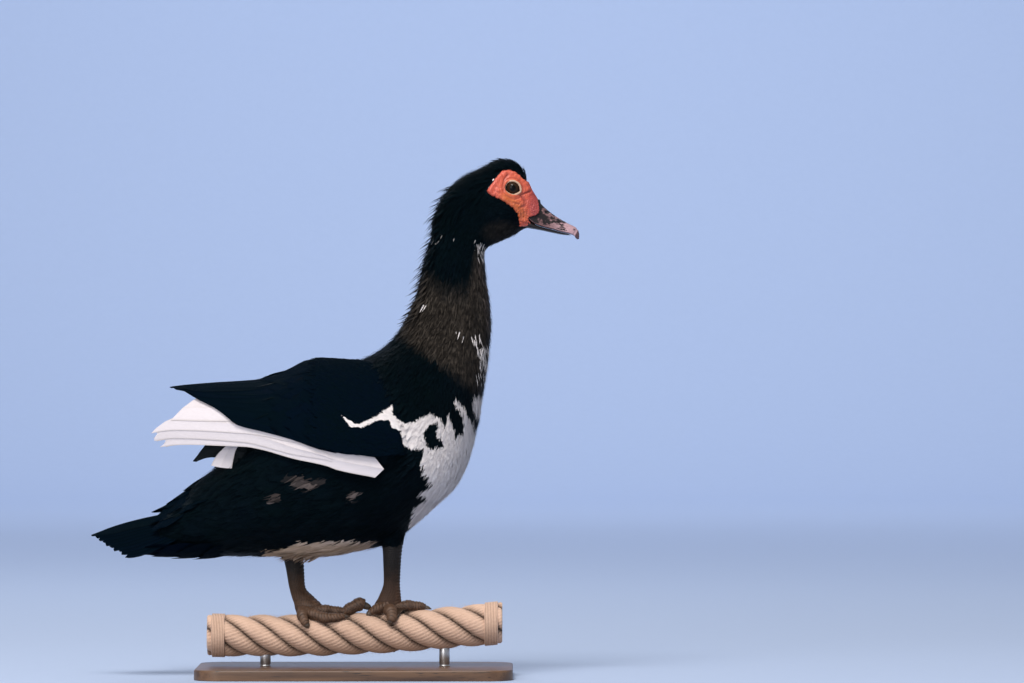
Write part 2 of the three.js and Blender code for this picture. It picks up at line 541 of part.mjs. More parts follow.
function tailFan() {
  const fan = steps(0, TAIL.pairs, TAIL.pairs).flatMap((pair) => (pair ? [-1, 1] : [1]).map((side) => {
    const keep = (across) => (pair ? side * clearOfRidge(side * across, 0.5, 4) : across);
    const place = (x, across, lift) => roofPlace(tailRidge)(x, keep(across), lift);
    const tip = [TAIL.tip + TAIL.shorter * pair + vary(1), side * pair * TAIL.spread];
    return feather(place, { root: [TAIL.root, side * pair * 1.7], tip, width: TAIL.width, thick: 0.8,
      sink: 1.5 + 0.5 * pair, rise: -LAYER.step * pair });
  }));
  const coverts = [-166, -188].flatMap((x, row) => [-1.5, -0.5, 0.5, 1.5].map((column) => {
    const tip = [x + 3 * Math.abs(column) + vary(2), column * (18 - 2 * row)];
    return feather(roofPlace(coverRidge), { root: [x + 42, column * 14], tip, width: 24, sink: 1.5,
      rise: 1.6 - 2.2 * row - 0.4 * Math.abs(column), roll: 0.2, rows: 2, flat: true });
  }));
  const belly = (x, across, lift) => new THREE.Vector3(x, across, tailUnder(x) + across * across * 0.012 - lift);
  const under = [-172, -206].flatMap((x, row) => [-1, 0, 1].map((column) => {
    const tip = [x + vary(3), column * 16];
    return feather(belly, { root: [x + 52, column * 17], tip, width: 24, sink: 2.5, rise: 0.6 - 2.4 * row,
      roll: 0.15 * column, rows: 2, flat: true });
  }));
  const ring = (x, top, bottom, half) => Array.from({ length: 12 }, (_, j) => {
    const angle = (2 * Math.PI * j) / 12;
    return new THREE.Vector3(x, half * Math.sin(angle), mix(bottom, top, 0.5 + 0.5 * Math.cos(angle)));
  });
  const core = loft([ring(-126, 200, 118, 36), ring(-145, 186, 115.5, 33), ring(-160, 171, 114.5, 30),
    ring(-178, 156, 117, 22)]);
  return joined([core, ...fan, ...coverts, ...under]);
}
node("tail", tailFan().intersect(behind("tail")), 0x101314, 0.4);

// Wings
for (const [side, sign] of Object.entries(SIDES)) {
  node("wing_" + side, wingCovert(sign), 0x0d1112, 0.35);
  node("flight_feathers_" + side, wingFlight(sign, side === "left" ? FAR_WING_DROOP : 0), 0xe9e4da, 0.6);
}

// Legs
function legTube(stations) {
  return loft(stations.map(([x, y, z, deep, wide]) => Array.from({ length: 10 }, (_, j) => {
    const angle = (2 * Math.PI * j) / 10;
    return new THREE.Vector3(x + deep * Math.cos(angle), y + wide * Math.sin(angle), z);
  })));
}

// A place on the rope: at x, turned from its top towards the bird's right, raised off its strands
function onRope(x, turn, lift) {
  const radius = ROPE.radius + lift;
  return new THREE.Vector3(x, -radius * Math.sin(turn), ropeLevel(x) + radius * Math.cos(turn));
}

// A toe with its claw, through stations [x, turn, lift, radius]
function toe(stations) {
  const path = new THREE.CatmullRomCurve3(stations.map(([x, turn, lift]) => onRope(x, turn, lift)));
  const size = through(stations.map(([, , , radius], i) => [i / (stations.length - 1), radius]));
  const sides = 6;
  return loft(steps(0, 1, Math.round(1.3 * (stations.length - 1))).map((t) => {
    const [centre, way] = [path.getPoint(t), path.getTangent(t)];
    const out = new THREE.Vector3(0, centre.y, centre.z - ropeLevel(centre.x)).normalize();
    const beside = new THREE.Vector3().crossVectors(way, out).normalize();
    out.crossVectors(beside, way);
    return Array.from({ length: sides }, (_, j) => {
      const angle = (2 * Math.PI * j) / sides;
      const [up, across] = [size(t) * Math.cos(angle), size(t) * Math.sin(angle)];
      return centre.clone().addScaledVector(out, up).addScaledVector(beside, across);
    });
  }));
}

// The web between two toes: a thin sheet laid on the rope between two edges [x, turn]
function web(first, second, lift) {
  const grid = (thick) => steps(0, 1, 3).map((t) => steps(0, 1, 2).map((u) => {
    const [a, b] = [first(t), second(t)];
    const slack = 1 - 0.28 * Math.sin(Math.PI * u) * t;
    return onRope(mix(first(0)[0], mix(a[0], b[0], u), slack), mix(a[1], b[1], u), lift - thick);
  }));
  return plate(grid(0), grid(1.2));
}

// The toes of each foot, middle, outer, inner and hind, and the webs between the front three
const FEET = {
  right: {
    toes: [[[29, 0, 3, 7], [40, 0.05, 5, 4.6], [52, 0.1, 6, 4.2], [62, 0.14, 4, 3.6], [68, 0.16, 3, 2.2],
      [73, 0.2, 0.6, 0.6]],
      [[29, 0.1, 3, 6.5], [33, 0.5, 4, 4.4], [35, 0.95, 3.4, 3.8], [34, 1.15, 3, 3], [32, 1.36, 0.8, 0.7]],
      [[30, -0.1, 3, 6.5], [37, -0.6, 4, 4.4], [42, -1.2, 3.4, 3.8], [42, -1.8, 3, 3.2], [37, -2.45, 2.2, 2.2],
        [32, -2.95, 0.8, 0.7]],
      [[31, 0.15, 5, 5], [23, 0.34, 3.4, 3.2], [17, 0.45, 2.4, 2], [11, 0.52, 0.8, 0.6]]],
    webs: [[(t) => [mix(31, 60, t), 0.08], (t) => [mix(31, 38, t), mix(0.2, 1.05, t)]],
      [(t) => [mix(31, 60, t), 0.02], (t) => [mix(31, 44, t), mix(-0.2, -1.2, t)]]],
  },
  left: {
    toes: [[[-49, 0, 3, 7], [-38, 0, 5, 5], [-25, 0.02, 4.6, 4.2], [-11, 0.05, 2, 3.6], [-2, 0.06, 8, 3.4],
      [6, 0.05, 11, 3.2], [13, 0.02, 8, 2.2], [17, 0, 3.5, 0.7]],
      [[-49, 0.1, 3, 6.5], [-46, 0.55, 4, 4.4], [-43, 0.95, 3.4, 3.6], [-43, 1.2, 2.8, 2.4], [-44, 1.42, 0.8, 0.7]],
      [[-48, -0.1, 3, 6.5], [-40, -0.6, 4, 4.4], [-33, -1.15, 3.4, 3.8], [-31, -1.65, 3, 3], [-33, -2.1, 0.8, 0.7]],
      [[-47, 0.1, 5, 5], [-53, 0.4, 3.6, 3.2], [-55, 0.75, 2.6, 2], [-54, 1.05, 0.8, 0.6]]],
    webs: [[(t) => [mix(-46, -6, t), 0.06], (t) => [mix(-46, -41, t), mix(0.2, 1, t)]],
      [(t) => [mix(-46, -10, t), 0], (t) => [mix(-46, -32, t), mix(-0.2, -1.2, t)]]],
  },
};

for (const [side, sign] of Object.entries(SIDES)) {
  const { ankle, hem, shank, foot } = LEG[side];
  const y = sign * LEG.y;
  const thigh = legTube([[ankle - 4, y, hem + 45, 22, 18], [ankle - 2, y, hem + 22, 18, 15],
    [ankle, y, hem + 5, 12, 11], [ankle, y, hem, 10, 9]]);
  node("thigh_" + side, thigh.subtract(bodyWithRoom), 0x17181a, 0.6);
  const [endX, endY] = [mix(shank, foot, 0.7), mix(y, 0, 0.8)];
  const lower = legTube([[ankle, y, hem - GAP, 9.5, 8.5],
    [mix(ankle, shank, 0.5), mix(y, 0, 0.1), hem - 11, 8.2, 6.8],
    [shank, mix(y, 0, 0.45), mix(hem, LEG.toes, 0.55), 7.2, 5.6], [endX, endY, LEG.sole, 8, 6]]);
  node("shank_" + side, lower, 0x4a4438, 0.6);
  const heel = legTube([[endX, endY, LEG.sole - GAP, 8, 6], [foot, 0, 67, 9, 8], [foot + 1, 0, 58, 10, 8]]);
  const { toes, webs } = FEET[side];
  const spread = webs.map(([first, second]) => web(first, second, 2.4));
  const shankRoom = beyond(at(foot, LEG.sole - GAP / 2), new THREE.Vector3(0, 0, 1), -GAP / 2);
  const footAlone = joined([heel, ...toes.map(toe), ...spread]);
  node("foot_" + side, footAlone.subtract(ropeWithRoom).subtract(shankRoom), 0x4a4438, 0.6);
}

const duck = new THREE.Group();
for (const { name, made, colour, roughness, metalness } of nodes) {
  const { vertProperties, triVerts } = made.getMesh();
  const geometry = new THREE.BufferGeometry();
  geometry.setAttribute("position", new THREE.BufferAttribute(vertProperties, 3));
  geometry.setIndex(new THREE.BufferAttribute(triVerts, 1));
  geometry.computeVertexNormals();
  const mesh = new THREE.Mesh(geometry, new THREE.MeshStandardMaterial({ color: colour, roughness, metalness }));
  mesh.name = name;
  duck.add(mesh);
}

export default duck;
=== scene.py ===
# %% [markdown]
# # A muscovy duck on a rope perch
#
# This lesson dresses a still, life-size duck. The solids of the bird, its perch and its stand are already
# there as a fixed frame, and each step makes one real thing over them: skin, small feathers, wings, tail,
# bare face, bill, eyes, legs, rope and stand. The bird faces +X, its right side looks along -Y, and Z is
# up.

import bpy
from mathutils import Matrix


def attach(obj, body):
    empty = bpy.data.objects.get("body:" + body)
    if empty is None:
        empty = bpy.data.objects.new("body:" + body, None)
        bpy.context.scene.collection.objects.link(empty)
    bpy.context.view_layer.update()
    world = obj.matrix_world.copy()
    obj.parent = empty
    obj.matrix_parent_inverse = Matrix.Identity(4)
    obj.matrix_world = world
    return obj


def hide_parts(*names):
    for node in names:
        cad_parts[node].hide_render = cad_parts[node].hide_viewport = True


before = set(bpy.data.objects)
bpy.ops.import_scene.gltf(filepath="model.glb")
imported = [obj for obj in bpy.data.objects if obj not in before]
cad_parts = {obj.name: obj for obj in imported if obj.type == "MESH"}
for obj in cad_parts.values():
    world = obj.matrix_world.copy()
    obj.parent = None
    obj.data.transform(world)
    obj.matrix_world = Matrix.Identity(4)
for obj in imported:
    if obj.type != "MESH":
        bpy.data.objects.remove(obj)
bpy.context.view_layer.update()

# %% Libraries
import math

import bpy
import numpy as np
from mathutils import Vector, noise
from mathutils.bvhtree import BVHTree
from mathutils.kdtree import KDTree

MM = 0.001
TURN = 2 * math.pi
rng = np.random.default_rng(11)


def varied(share, count):
    """Random factors round 1, which mostly stay within the given share of it."""
    return 1 + share * rng.normal(0, 1, count)


print("lengths in the formulas are millimetres:", MM, "m each")

# %% [markdown]
# ## Camera, floor and light
#
# The bird is looked at square from its right side, from far off, so the camera is level and its lens is
# long. The floor sweeps up behind the bird as a photographer's paper roll does, which leaves no horizon.
# A few small lamps would be simpler, but large ones give the soft, readable gloss that black feathers
# need. Three of them stand round the bird, and a fourth one lights the paper far behind it.

# %% Camera
CAMERA = {"x": 0.1492, "distance": 6.0, "height": 0.3184, "lens": 222.05}

camera_data = bpy.data.cameras.new("camera")
camera_data.lens = CAMERA["lens"]
camera_data.sensor_width = 36
camera = bpy.data.objects.new("camera", camera_data)
camera.location = (CAMERA["x"], -CAMERA["distance"], CAMERA["height"])
camera.rotation_euler = (math.radians(90), 0, 0)
bpy.context.scene.collection.objects.link(camera)
bpy.context.scene.camera = camera
print("camera stands", CAMERA["distance"], "m away")

# %% [markdown]
# ## Shader maths
#
# A finish is a chain of small sums: a mask times a colour, a wave plus a little noise. Linking nodes one
# by one hides those sums, so a socket is wrapped in a small class, and then Python's own operators add
# the Math nodes.


# %% Wire
class Wire:
    """A shader socket that takes part in sums. node() adds another node and gives back one output."""

    def __init__(self, tree, socket):
        self.tree = tree
        self.socket = socket

    def node(self, kind, inputs, output=0, **settings):
        made = self.tree.nodes.new("ShaderNode" + kind)
        for name, value in settings.items():
            setattr(made, name, value)
        for name, value in inputs.items():
            if isinstance(value, Wire):
                self.tree.links.new(value.socket, made.inputs[name])
            else:
                made.inputs[name].default_value = value
        return Wire(self.tree, made.outputs[output])

    def maths(self, operation, *others):
        return self.node("Math", dict(enumerate((self, *others))), operation=operation)

    def __add__(self, other):
        return self.maths("ADD", other)

    def __sub__(self, other):
        return self.maths("SUBTRACT", other)

    def __rsub__(self, other):
        return self.node("Math", {0: other, 1: self}, operation="SUBTRACT")

    def __mul__(self, other):
        return self.maths("MULTIPLY", other)

    __radd__ = __add__
    __rmul__ = __mul__

    def clamp(self):
        return self.node("Clamp", {0: self})

    def ramp(self, low, high):
        """0 where the value is under low, 1 over high, smooth between them."""
        return self.node("MapRange", {0: self, 1: low, 2: high}, interpolation_type="SMOOTHSTEP")

    def blend(self, first, second):
        """The first colour where this value is 0, the second where it is 1."""
        first, second = (one if isinstance(one, Wire) else (*one, 1) for one in (first, second))
        return self.node("Mix", {0: self, 6: first, 7: second}, output=2, data_type="RGBA")

    def scaled(self, x, y, z):
        return self.node("VectorMath", {0: self, 1: (x, y, z)}, operation="MULTIPLY")

    def axis(self, name):
        return self.node("SeparateXYZ", {0: self}, output="XYZ".index(name))

    def mark(self, name):
        """What the mesh says of each point for the finish, such as how white it is."""
        return self.node("Attribute", {}, output="Fac", attribute_name=name)

    def vane(self):
        """The place on a feather: across it and along it, both from 0 to 1."""
        return self.node("UVMap", {}, uv_map="vane")

    def noise(self, scale, detail=2.0, roughness=0.5):
        inputs = {"Vector": self, "Scale": scale, "Detail": detail, "Roughness": roughness}
        return self.node("TexNoise", inputs)

    def bump(self, height, distance, strength=1.0):
        inputs = {"Height": height, "Distance": distance, "Strength": strength}
        return self.node("Bump", inputs)


def new_finish(name, **constants):
    """A material, its Principled shader with constant sockets set, and its object coordinates."""
    material = bpy.data.materials.new(name)
    material.use_nodes = True
    tree = material.node_tree
    shader = tree.nodes["Principled BSDF"]
    for socket, value in constants.items():
        shader.inputs[socket.replace("_", " ")].default_value = value
    place = Wire(tree, tree.nodes.new("ShaderNodeTexCoord").outputs["Object"])
    return material, shader, place


def drive(shader, **sockets):
    for name, wire in sockets.items():
        wire.tree.links.new(wire.socket, shader.inputs[name.replace("_", " ")])


print("shader maths ready")

# %% Floor and backdrop
PAPER = {"near": -12.0, "far": 6.6, "half_width": 9.0, "bend": 1.8, "top": 8.0}


def paper_sweep():
    material, shader, place = new_finish("pale_paper", Roughness=0.9)
    grain = place.noise(60, 4)
    under = grain.blend((0.35, 0.42, 0.57), (0.37, 0.44, 0.59))
    behind = grain.blend((0.46, 0.565, 0.80), (0.48, 0.585, 0.82))
    shade = place.axis("Y").ramp(0.6, 4.0).blend(under, behind)
    drive(shader, Base_Color=shade, Normal=place.bump(grain, 0.0002))
    turns = np.radians(np.linspace(0, 90, 25))
    far, bend = PAPER["far"], PAPER["bend"]
    line = [(PAPER["near"], 0.0)] + [(far + bend * math.sin(a), bend - bend * math.cos(a)) for a in turns]
    line.append((far + bend, PAPER["top"]))
    rows = np.array([[(x, y, z) for y, z in line] for x in (-PAPER["half_width"], PAPER["half_width"])])
    count = len(line)
    faces = [(i, i + count, i + count + 1, i + 1) for i in range(count - 1)]
    mesh = bpy.data.meshes.new("paper_sweep")
    mesh.from_pydata(rows.reshape(-1, 3), [], faces)
    mesh.materials.append(material)
    mesh.shade_smooth()
    sweep = bpy.data.objects.new("paper_sweep", mesh)
    bpy.context.scene.collection.objects.link(sweep)
    return sweep


floor = paper_sweep()
print("floor made of", len(floor.data.polygons), "faces")

# %% Lights
LAMPS = {
    "key_softbox": {"at": (-0.5, -2.2, 3.7), "size": 1.6, "watts": 165, "warm": (1.0, 0.98, 0.95)},
    "fill_softbox": {"at": (-1.6, -3.2, 1.2), "size": 2.2, "watts": 58, "warm": (1.0, 0.96, 0.93)},
    "rim_softbox": {"at": (-0.6, 2.0, 2.4), "size": 1.6, "watts": 20, "warm": (0.95, 0.98, 1.0)},
    "backdrop_softbox": {
        "at": (0.2, 5.6, 3.6), "size": 2.4, "watts": 58, "warm": (0.96, 0.98, 1.0), "aim": (0.2, 8.4, 1.2),
    },
}
AIR = {"Color": (0.86, 0.9, 0.96, 1), "Strength": 0.5}
BODY_MIDDLE = (0, 0, 0.28)


def soft_light():
    for name, lamp in LAMPS.items():
        data = bpy.data.lights.new(name, "AREA")
        data.size = lamp["size"]
        data.energy = lamp["watts"]
        data.color = lamp["warm"]
        light = bpy.data.objects.new(name, data)
        light.location = lamp["at"]
        aim = Vector(lamp.get("aim", BODY_MIDDLE))
        light.rotation_euler = (aim - light.location).to_track_quat("-Z", "Y").to_euler()
        bpy.context.scene.collection.objects.link(light)
    world = bpy.data.worlds.new("studio_air")
    world.use_nodes = True
    for socket, value in AIR.items():
        world.node_tree.nodes["Background"].inputs[socket].default_value = value
    bpy.context.scene.world = world
    bpy.context.scene.view_settings.view_transform = "Standard"


soft_light()
print(len(LAMPS), "soft lamps")

# %% [markdown]
# ## The body's form
#
# A duck's body is read from its side: a line for the back, one for the belly, and one for the half-width
# seen from above. Each is a smooth curve through a few measured points, in millimetres. Rings between
# those lines make the trunk, the neck and the head. Sculpting would be freer, but named lines keep this
# form on the same places as the solids that it dresses.


# %% Curves through points
def through(*points):
    """A smooth curve through a few points (x, y), which never swings past them."""
    xs, ys = np.array(points, float).T
    slopes = np.diff(ys) / np.diff(xs)
    before, after = np.append(slopes[:1], slopes), np.append(slopes, slopes[-1:])
    bends = before * after > 0
    lean = np.where(bends, 2 * before * after / np.where(bends, before + after, 1), 0)

    def curve(x):
        x = np.clip(x, xs[0], xs[-1])
        i = np.clip(np.searchsorted(xs, x, side="right") - 1, 0, len(xs) - 2)
        span = xs[i + 1] - xs[i]
        t = (x - xs[i]) / span
        ease = t * t * (3 - 2 * t)
        bend = t * (1 - t) * ((1 - t) * lean[i] - t * lean[i + 1]) * span
        return ys[i] * (1 - ease) + ys[i + 1] * ease + bend

    return curve


def mix(a, b, t):
    return a + (b - a) * t


def signed_power(value, power):
    return np.sign(value) * np.abs(value) ** power


def stacked(*columns):
    """The columns side by side in a last axis, such as points from their x, y and z."""
    return np.stack(np.broadcast_arrays(*columns), -1)


def full_turn(count):
    """Even angles once round, without the one that closes the round."""
    return np.linspace(0, TURN, count, endpoint=False)


def unit(vectors):
    return vectors / np.maximum(np.linalg.norm(vectors, axis=-1, keepdims=True), 1e-9)


def ease(value, low, high):
    """A soft step from 0 at low to 1 at high."""
    t = np.clip((value - low) / (high - low), 0, 1)
    return t * t * (3 - 2 * t)


def hump(distance, radius):
    """A soft bump: 1 at distance 0, nearly 0 at twice the radius."""
    return np.exp(-(distance / radius) ** 2)


# %% Lines of the trunk, neck and head
TRUNK = {
    "top": through(
        (-158, 176), (-151, 184), (-135, 197), (-109, 218), (-86, 248), (-65, 276), (-45, 293), (-20, 300),
        (5, 302), (40, 300), (78, 282), (98, 240), (104, 212)
    ),
    "bottom": through(
        (-158, 124), (-150, 119), (-130, 114), (-110, 113.5), (-73, 113), (-37, 112.5), (0, 117.5),
        (24, 123), (49, 137), (77, 162), (98, 187), (104, 205)
    ),
    "half": through(
        (-158, 20), (-135, 38), (-100, 54), (-50, 70), (0, 76), (40, 72), (78, 52), (98, 18), (104, 5)
    ),
}
NECK = {
    "back": through(
        (120, 10), (140, -14), (165, -26), (239, -28), (262, -20), (283, -8), (298, 2), (308, 20),
        (324, 38), (336, 46), (354, 54), (368, 58.7), (388, 63), (405, 68), (420, 72), (436, 76),
        (450, 86)
    ),
    "front": through(
        (120, 26), (137, 49), (161, 77), (184, 100), (207, 110.3), (239, 118.2), (262, 122.1),
        (283, 125.6), (305, 128.6), (336, 131), (354, 129.7), (370, 127.4), (388, 125.4), (405, 124.8),
        (420, 128), (450, 130)
    ),
    "half": through(
        (120, 14), (137, 36), (161, 56), (184, 67), (207, 72), (239, 71), (262, 66), (283, 57), (298, 49),
        (310, 42), (324, 36.5), (345, 30.5), (361, 27.5), (388, 25), (405, 24), (420, 23.5), (450, 15)
    ),
}
HEAD = {
    "top": through(
        (72, 424), (77, 438), (81, 447.5), (88, 461), (98, 471), (108, 478.2), (120, 483), (130, 488.3),
        (140, 491.4), (148, 490.6), (155, 486.4), (160, 480), (163.5, 472.5), (168.6, 461.5), (174, 453.8),
        (180, 449)
    ),
    "bottom": through(
        (72, 424), (80, 404), (100, 398), (120, 402.5), (127, 407.6), (138, 412.2), (149, 416.6),
        (155, 419.6), (159, 422.6), (165, 424.4), (180, 424.6)
    ),
    "half": through(
        (72, 4), (78, 14), (90, 20.5), (105, 23.8), (120, 24.6), (135, 23.6), (150, 20.4), (160, 16.6),
        (168, 13.6), (180, 12.2)
    ),
}


def upright_ring(lines, x, angle, grow, level=0.46, squareness=(0.88, 0.9)):
    """Points of the trunk or head at x, by the angle from straight up, which is negative on the right."""
    top, bottom, half = lines["top"](x) + grow, lines["bottom"](x) - grow, lines["half"](x) + grow
    middle = mix(bottom, top, level)
    across, up = (signed_power(f(angle), p) for f, p in zip((np.sin, np.cos), squareness))
    return stacked(x, half * across, middle + up * np.where(up > 0, top - middle, middle - bottom))


def level_ring(z, angle, grow):
    """Points of the breast and neck at height z, by the angle from straight ahead."""
    back, front, half = NECK["back"](z) - grow, NECK["front"](z) + grow, NECK["half"](z) + grow
    middle = mix(back, front, 0.54)
    ahead, across = signed_power(np.cos(angle), 0.94), signed_power(np.sin(angle), 0.94)
    reach = np.where(ahead > 0, front - middle, middle - back)
    return stacked(middle + ahead * reach, half * across, z)


def head_ring(x, angle, grow):
    return upright_ring(HEAD, x, angle, grow, level=0.47, squareness=(0.9, 0.96))


print("crown of the head at", float(HEAD["top"](142)), "mm")

# %% [markdown]
# ## Wing face
#
# A folded wing is a curved shell that hangs from the ridge of the back over the flank. It's easiest to
# work with in its own two directions: x along the body, and the way down its face. One function turns
# such a place, and a height off the face, into a point in space, and every wing feather is then laid with
# it.

# %% Places on the wing
WING = {
    "top": through(
        (-205, 262), (-175, 275), (-147, 278), (-109, 281.5), (-86, 284.5), (-65, 291.5), (-45, 301.5),
        (-32, 304), (5, 304.5), (40, 301), (70, 285)
    ),
    "level": through((-205, 226), (-150, 226), (-100, 222), (-50, 212), (0, 204), (70, 200)),
    "half": through((-205, 19), (-175, 27), (-135, 41), (-100, 55), (-50, 76), (0, 84), (40, 79), (70, 52)),
    "ridge": through((-175, 2), (-112, 5), (-60, 9), (-20, 22), (20, 36), (66, 50)),
    "hem": through(
        (-175, 272), (-158, 269), (-151, 264), (-134, 256.5), (-122, 249), (-111, 240), (-83, 233),
        (-57, 226), (-32, 216.5), (-4, 211), (10, 209.3), (28, 209.3), (66, 214)
    ),
}
SIDES = {"right": -1, "left": 1}


def wing_arc(x):
    """The wing's half width, the rise of its top over its level, and the way down the arc between them."""
    half, high = WING["half"](x), WING["top"](x) - WING["level"](x)
    return half, high, math.pi / 4 * (half + high)


def wing_face(x, down):
    half, high, quarter = wing_arc(x)
    angle = np.minimum(down / quarter, 1) * math.pi / 2
    drop = np.maximum(down - quarter, 0)
    return stacked(x, half * np.sin(angle), WING["level"](x) + high * np.cos(angle) - drop)


def on_wing(side, x, down, lift):
    """A point that stands off the wing's face by lift."""
    step = 1.0
    along = wing_face(x + step, down) - wing_face(x - step, down)
    across = unit(wing_face(x, down + step) - wing_face(x, np.maximum(down - step, 0)))
    out = unit(np.cross(across, along))
    out = out * np.where(out[..., 1:2] < 0, -1, 1)
    point = wing_face(x, down) + out * np.asarray(lift)[..., None]
    return point * np.array([1, side, 1])


def down_wing(x, z):
    """How far down the wing's face the height z lies."""
    _, high, quarter = wing_arc(x)
    rise = (z - WING["level"](x)) / high
    curved = np.arccos(np.clip(rise, 0, 1)) / (math.pi / 2) * quarter
    return np.where(rise > 0, curved, quarter + WING["level"](x) - z)


def flow_line(x, part):
    """The way down the face along the wing's own flow: part 0 runs by the ridge, part 1 by the hem."""
    return mix(WING["ridge"](x), down_wing(x, WING["hem"](x)), part)


print("wing hem at mid wing lies", round(float(down_wing(-57.0, 225.0))), "mm down its face")

# %% [markdown]
# ## One skin under the feathers
#
# Trunk, neck, head, thighs, tail root and the two wing shells are separate closed forms that run into
# each other. A Boolean union would join them but leave sharp creases. A voxel remesh joins and evens them
# in one go, and a few rounds of smoothing turn the creases into the soft valleys of plumage. The skin
# lies inside the outline by the depth of the feathers that it will carry.


# %% Closed forms from rings
def grid_quads(count, rows, columns):
    """Corners of the quads of open grids of equal size, one grid after the other."""
    one = np.arange(rows * columns).reshape(rows, columns)
    quads = stacked(one[:-1, :-1], one[1:, :-1], one[1:, 1:], one[:-1, 1:]).reshape(-1, 4)
    return (quads[None] + np.arange(count)[:, None, None] * rows * columns).reshape(-1, 4)


def loft(rings):
    """Points and faces of a closed form over rings of equal count."""
    stations, count = rings.shape[:2]
    i, j = np.meshgrid(np.arange(stations - 1), np.arange(count), indexing="ij")
    a, b = i * count + j, i * count + (j + 1) % count
    faces = stacked(a, b, b + count, a + count).reshape(-1, 4).tolist()
    faces.append(list(range(count))[::-1])
    faces.append([(stations - 1) * count + k for k in range(count)])
    return rings.reshape(-1, 3), faces


def thick_sheet(outer, inner):
    """Points and faces of a closed plate between two grids of points."""
    rows, columns = outer.shape[:2]
    under = rows * columns
    grid = np.arange(under).reshape(rows, columns)
    quads = grid_quads(1, rows, columns)
    edge = np.concatenate([grid[0, :-1], grid[:-1, -1], grid[-1, :0:-1], grid[:0:-1, 0]])
    after = np.roll(edge, -1)
    wall = stacked(edge, after, after + under, edge + under)
    points = np.concatenate([outer.reshape(-1, 3), inner.reshape(-1, 3)])
    return points, np.concatenate([quads, quads[:, ::-1] + under, wall]).tolist()


def tube(stations, count=24):
    """Rings round a leg: each station is (x, y, z, deep, wide)."""
    angle = full_turn(count)
    return np.array([stacked(x + deep * np.cos(angle), y + wide * np.sin(angle), z)
                     for x, y, z, deep, wide in stations])


# %% The skin's forms
COAT = {"body": 2.6, "head": 1.8, "wing": 1.6}
WING_INSIDE = 9.0
LEG = {
    "y": 22, "sole": 74, "toes": 62, "right": {"ankle": 36.4, "hem": 124.6, "shank": 35.4, "foot": 31},
    "left": {"ankle": -59.7, "hem": 112, "shank": -55, "foot": -44.5},
}


def wing_shell(side):
    x = np.linspace(64, -96, 40)[:, None]
    down = mix(WING["ridge"](x), down_wing(x, WING["hem"](x)) - 3, np.linspace(0, 1, 26))
    return thick_sheet(*(on_wing(side, x, down, -depth) for depth in (COAT["wing"], WING_INSIDE)))


def thigh(side):
    leg, y = LEG[side], SIDES[side] * LEG["y"]
    x, hem = leg["ankle"], leg["hem"]
    return loft(tube([
        (x - 6, y, hem + 60, 22, 20), (x - 4, y, hem + 42, 20, 17), (x - 2, y, hem + 20, 15, 13),
        (x, y, hem + 4, 10, 9), (x, y, hem - 1, 8, 7.5)
    ]))


def tail_root():
    angle = full_turn(36)
    stations = [(-120, 204, 117, 38), (-145, 182, 118, 30), (-165, 163, 118, 26), (-185, 150, 122, 17)]
    return loft(np.array([stacked(x, half * np.sin(angle), mix(low, high, 0.5 + 0.5 * np.cos(angle)))
                          for x, high, low, half in stations]))


def skin_forms():
    around, coat = full_turn(72), COAT["body"]
    trunk = upright_ring(TRUNK, np.linspace(-158 + coat, 104 - coat, 60)[:, None], around, -coat)
    neck = level_ring(np.linspace(126, 446, 90)[:, None], around, -coat)
    head = head_ring(np.linspace(75, 171, 50)[:, None], around, -COAT["head"])
    forms = [loft(rings) for rings in (trunk, neck, head)]
    return forms + [wing_shell(-1), wing_shell(1), thigh("right"), thigh("left"), tail_root()]


def join_forms(forms):
    points, faces, count = [], [], 0
    for more_points, more_faces in forms:
        points.append(more_points)
        faces += [[corner + count for corner in face] for face in more_faces]
        count += len(more_points)
    return np.concatenate(points), faces


# %% Remesh and smooth the skin
def plain_object(name, points, faces):
    mesh = bpy.data.meshes.new(name)
    mesh.from_pydata((points * MM).tolist(), [], faces)
    made = bpy.data.objects.new(name, mesh)
    bpy.context.scene.collection.objects.link(made)
    return made


def apply_modifiers(made):
    depsgraph = bpy.context.evaluated_depsgraph_get()
    finished = bpy.data.meshes.new_from_object(made.evaluated_get(depsgraph))
    made.modifiers.clear()
    made.data = finished


def one_skin():
    skin = plain_object("skin", *join_forms(skin_forms()))
    remesh = skin.modifiers.new("join", "REMESH")
    remesh.mode = "VOXEL"
    remesh.voxel_size = 2.4 * MM
    smooth = skin.modifiers.new("soften", "SMOOTH")
    smooth.factor = 0.6
    smooth.iterations = 9
    apply_modifiers(skin)
    skin.data.shade_smooth()
    return skin


skin = one_skin()
print("skin has", len(skin.data.polygons), "faces")

# %% The skin as arrays
def mesh_points(mesh):
    points = np.empty(len(mesh.vertices) * 3, np.float32)
    mesh.vertices.foreach_get("co", points)
    return points.reshape(-1, 3).astype(float) / MM


skin_points = mesh_points(skin.data)
skin_tree = BVHTree.FromPolygons(skin_points.tolist(), [list(face.vertices) for face in skin.data.polygons])


def settle(points):
    """The nearest place on the skin to each point, and the way out of the skin there."""
    found = [skin_tree.find_nearest(point)[:2] for point in points.reshape(-1, 3).tolist()]
    places, ways = (np.array(column, float).reshape(points.shape) for column in zip(*found))
    return places, ways


print("skin spans", skin_points.min(0).round(), "to", skin_points.max(0).round())

# %% [markdown]
# ## The lie of the feathers
#
# Feathers point away from the bill: back over the crown, down the neck, over the breast and on to the
# tail. That lie could be combed by hand as a hair system, but one curve from forehead to tail tip says
# nearly all of it. Each place on the skin takes its direction from the nearest stretch of the curve, and
# the angle round it gives the place a flat address, which is also where its colour will be kept on a map.

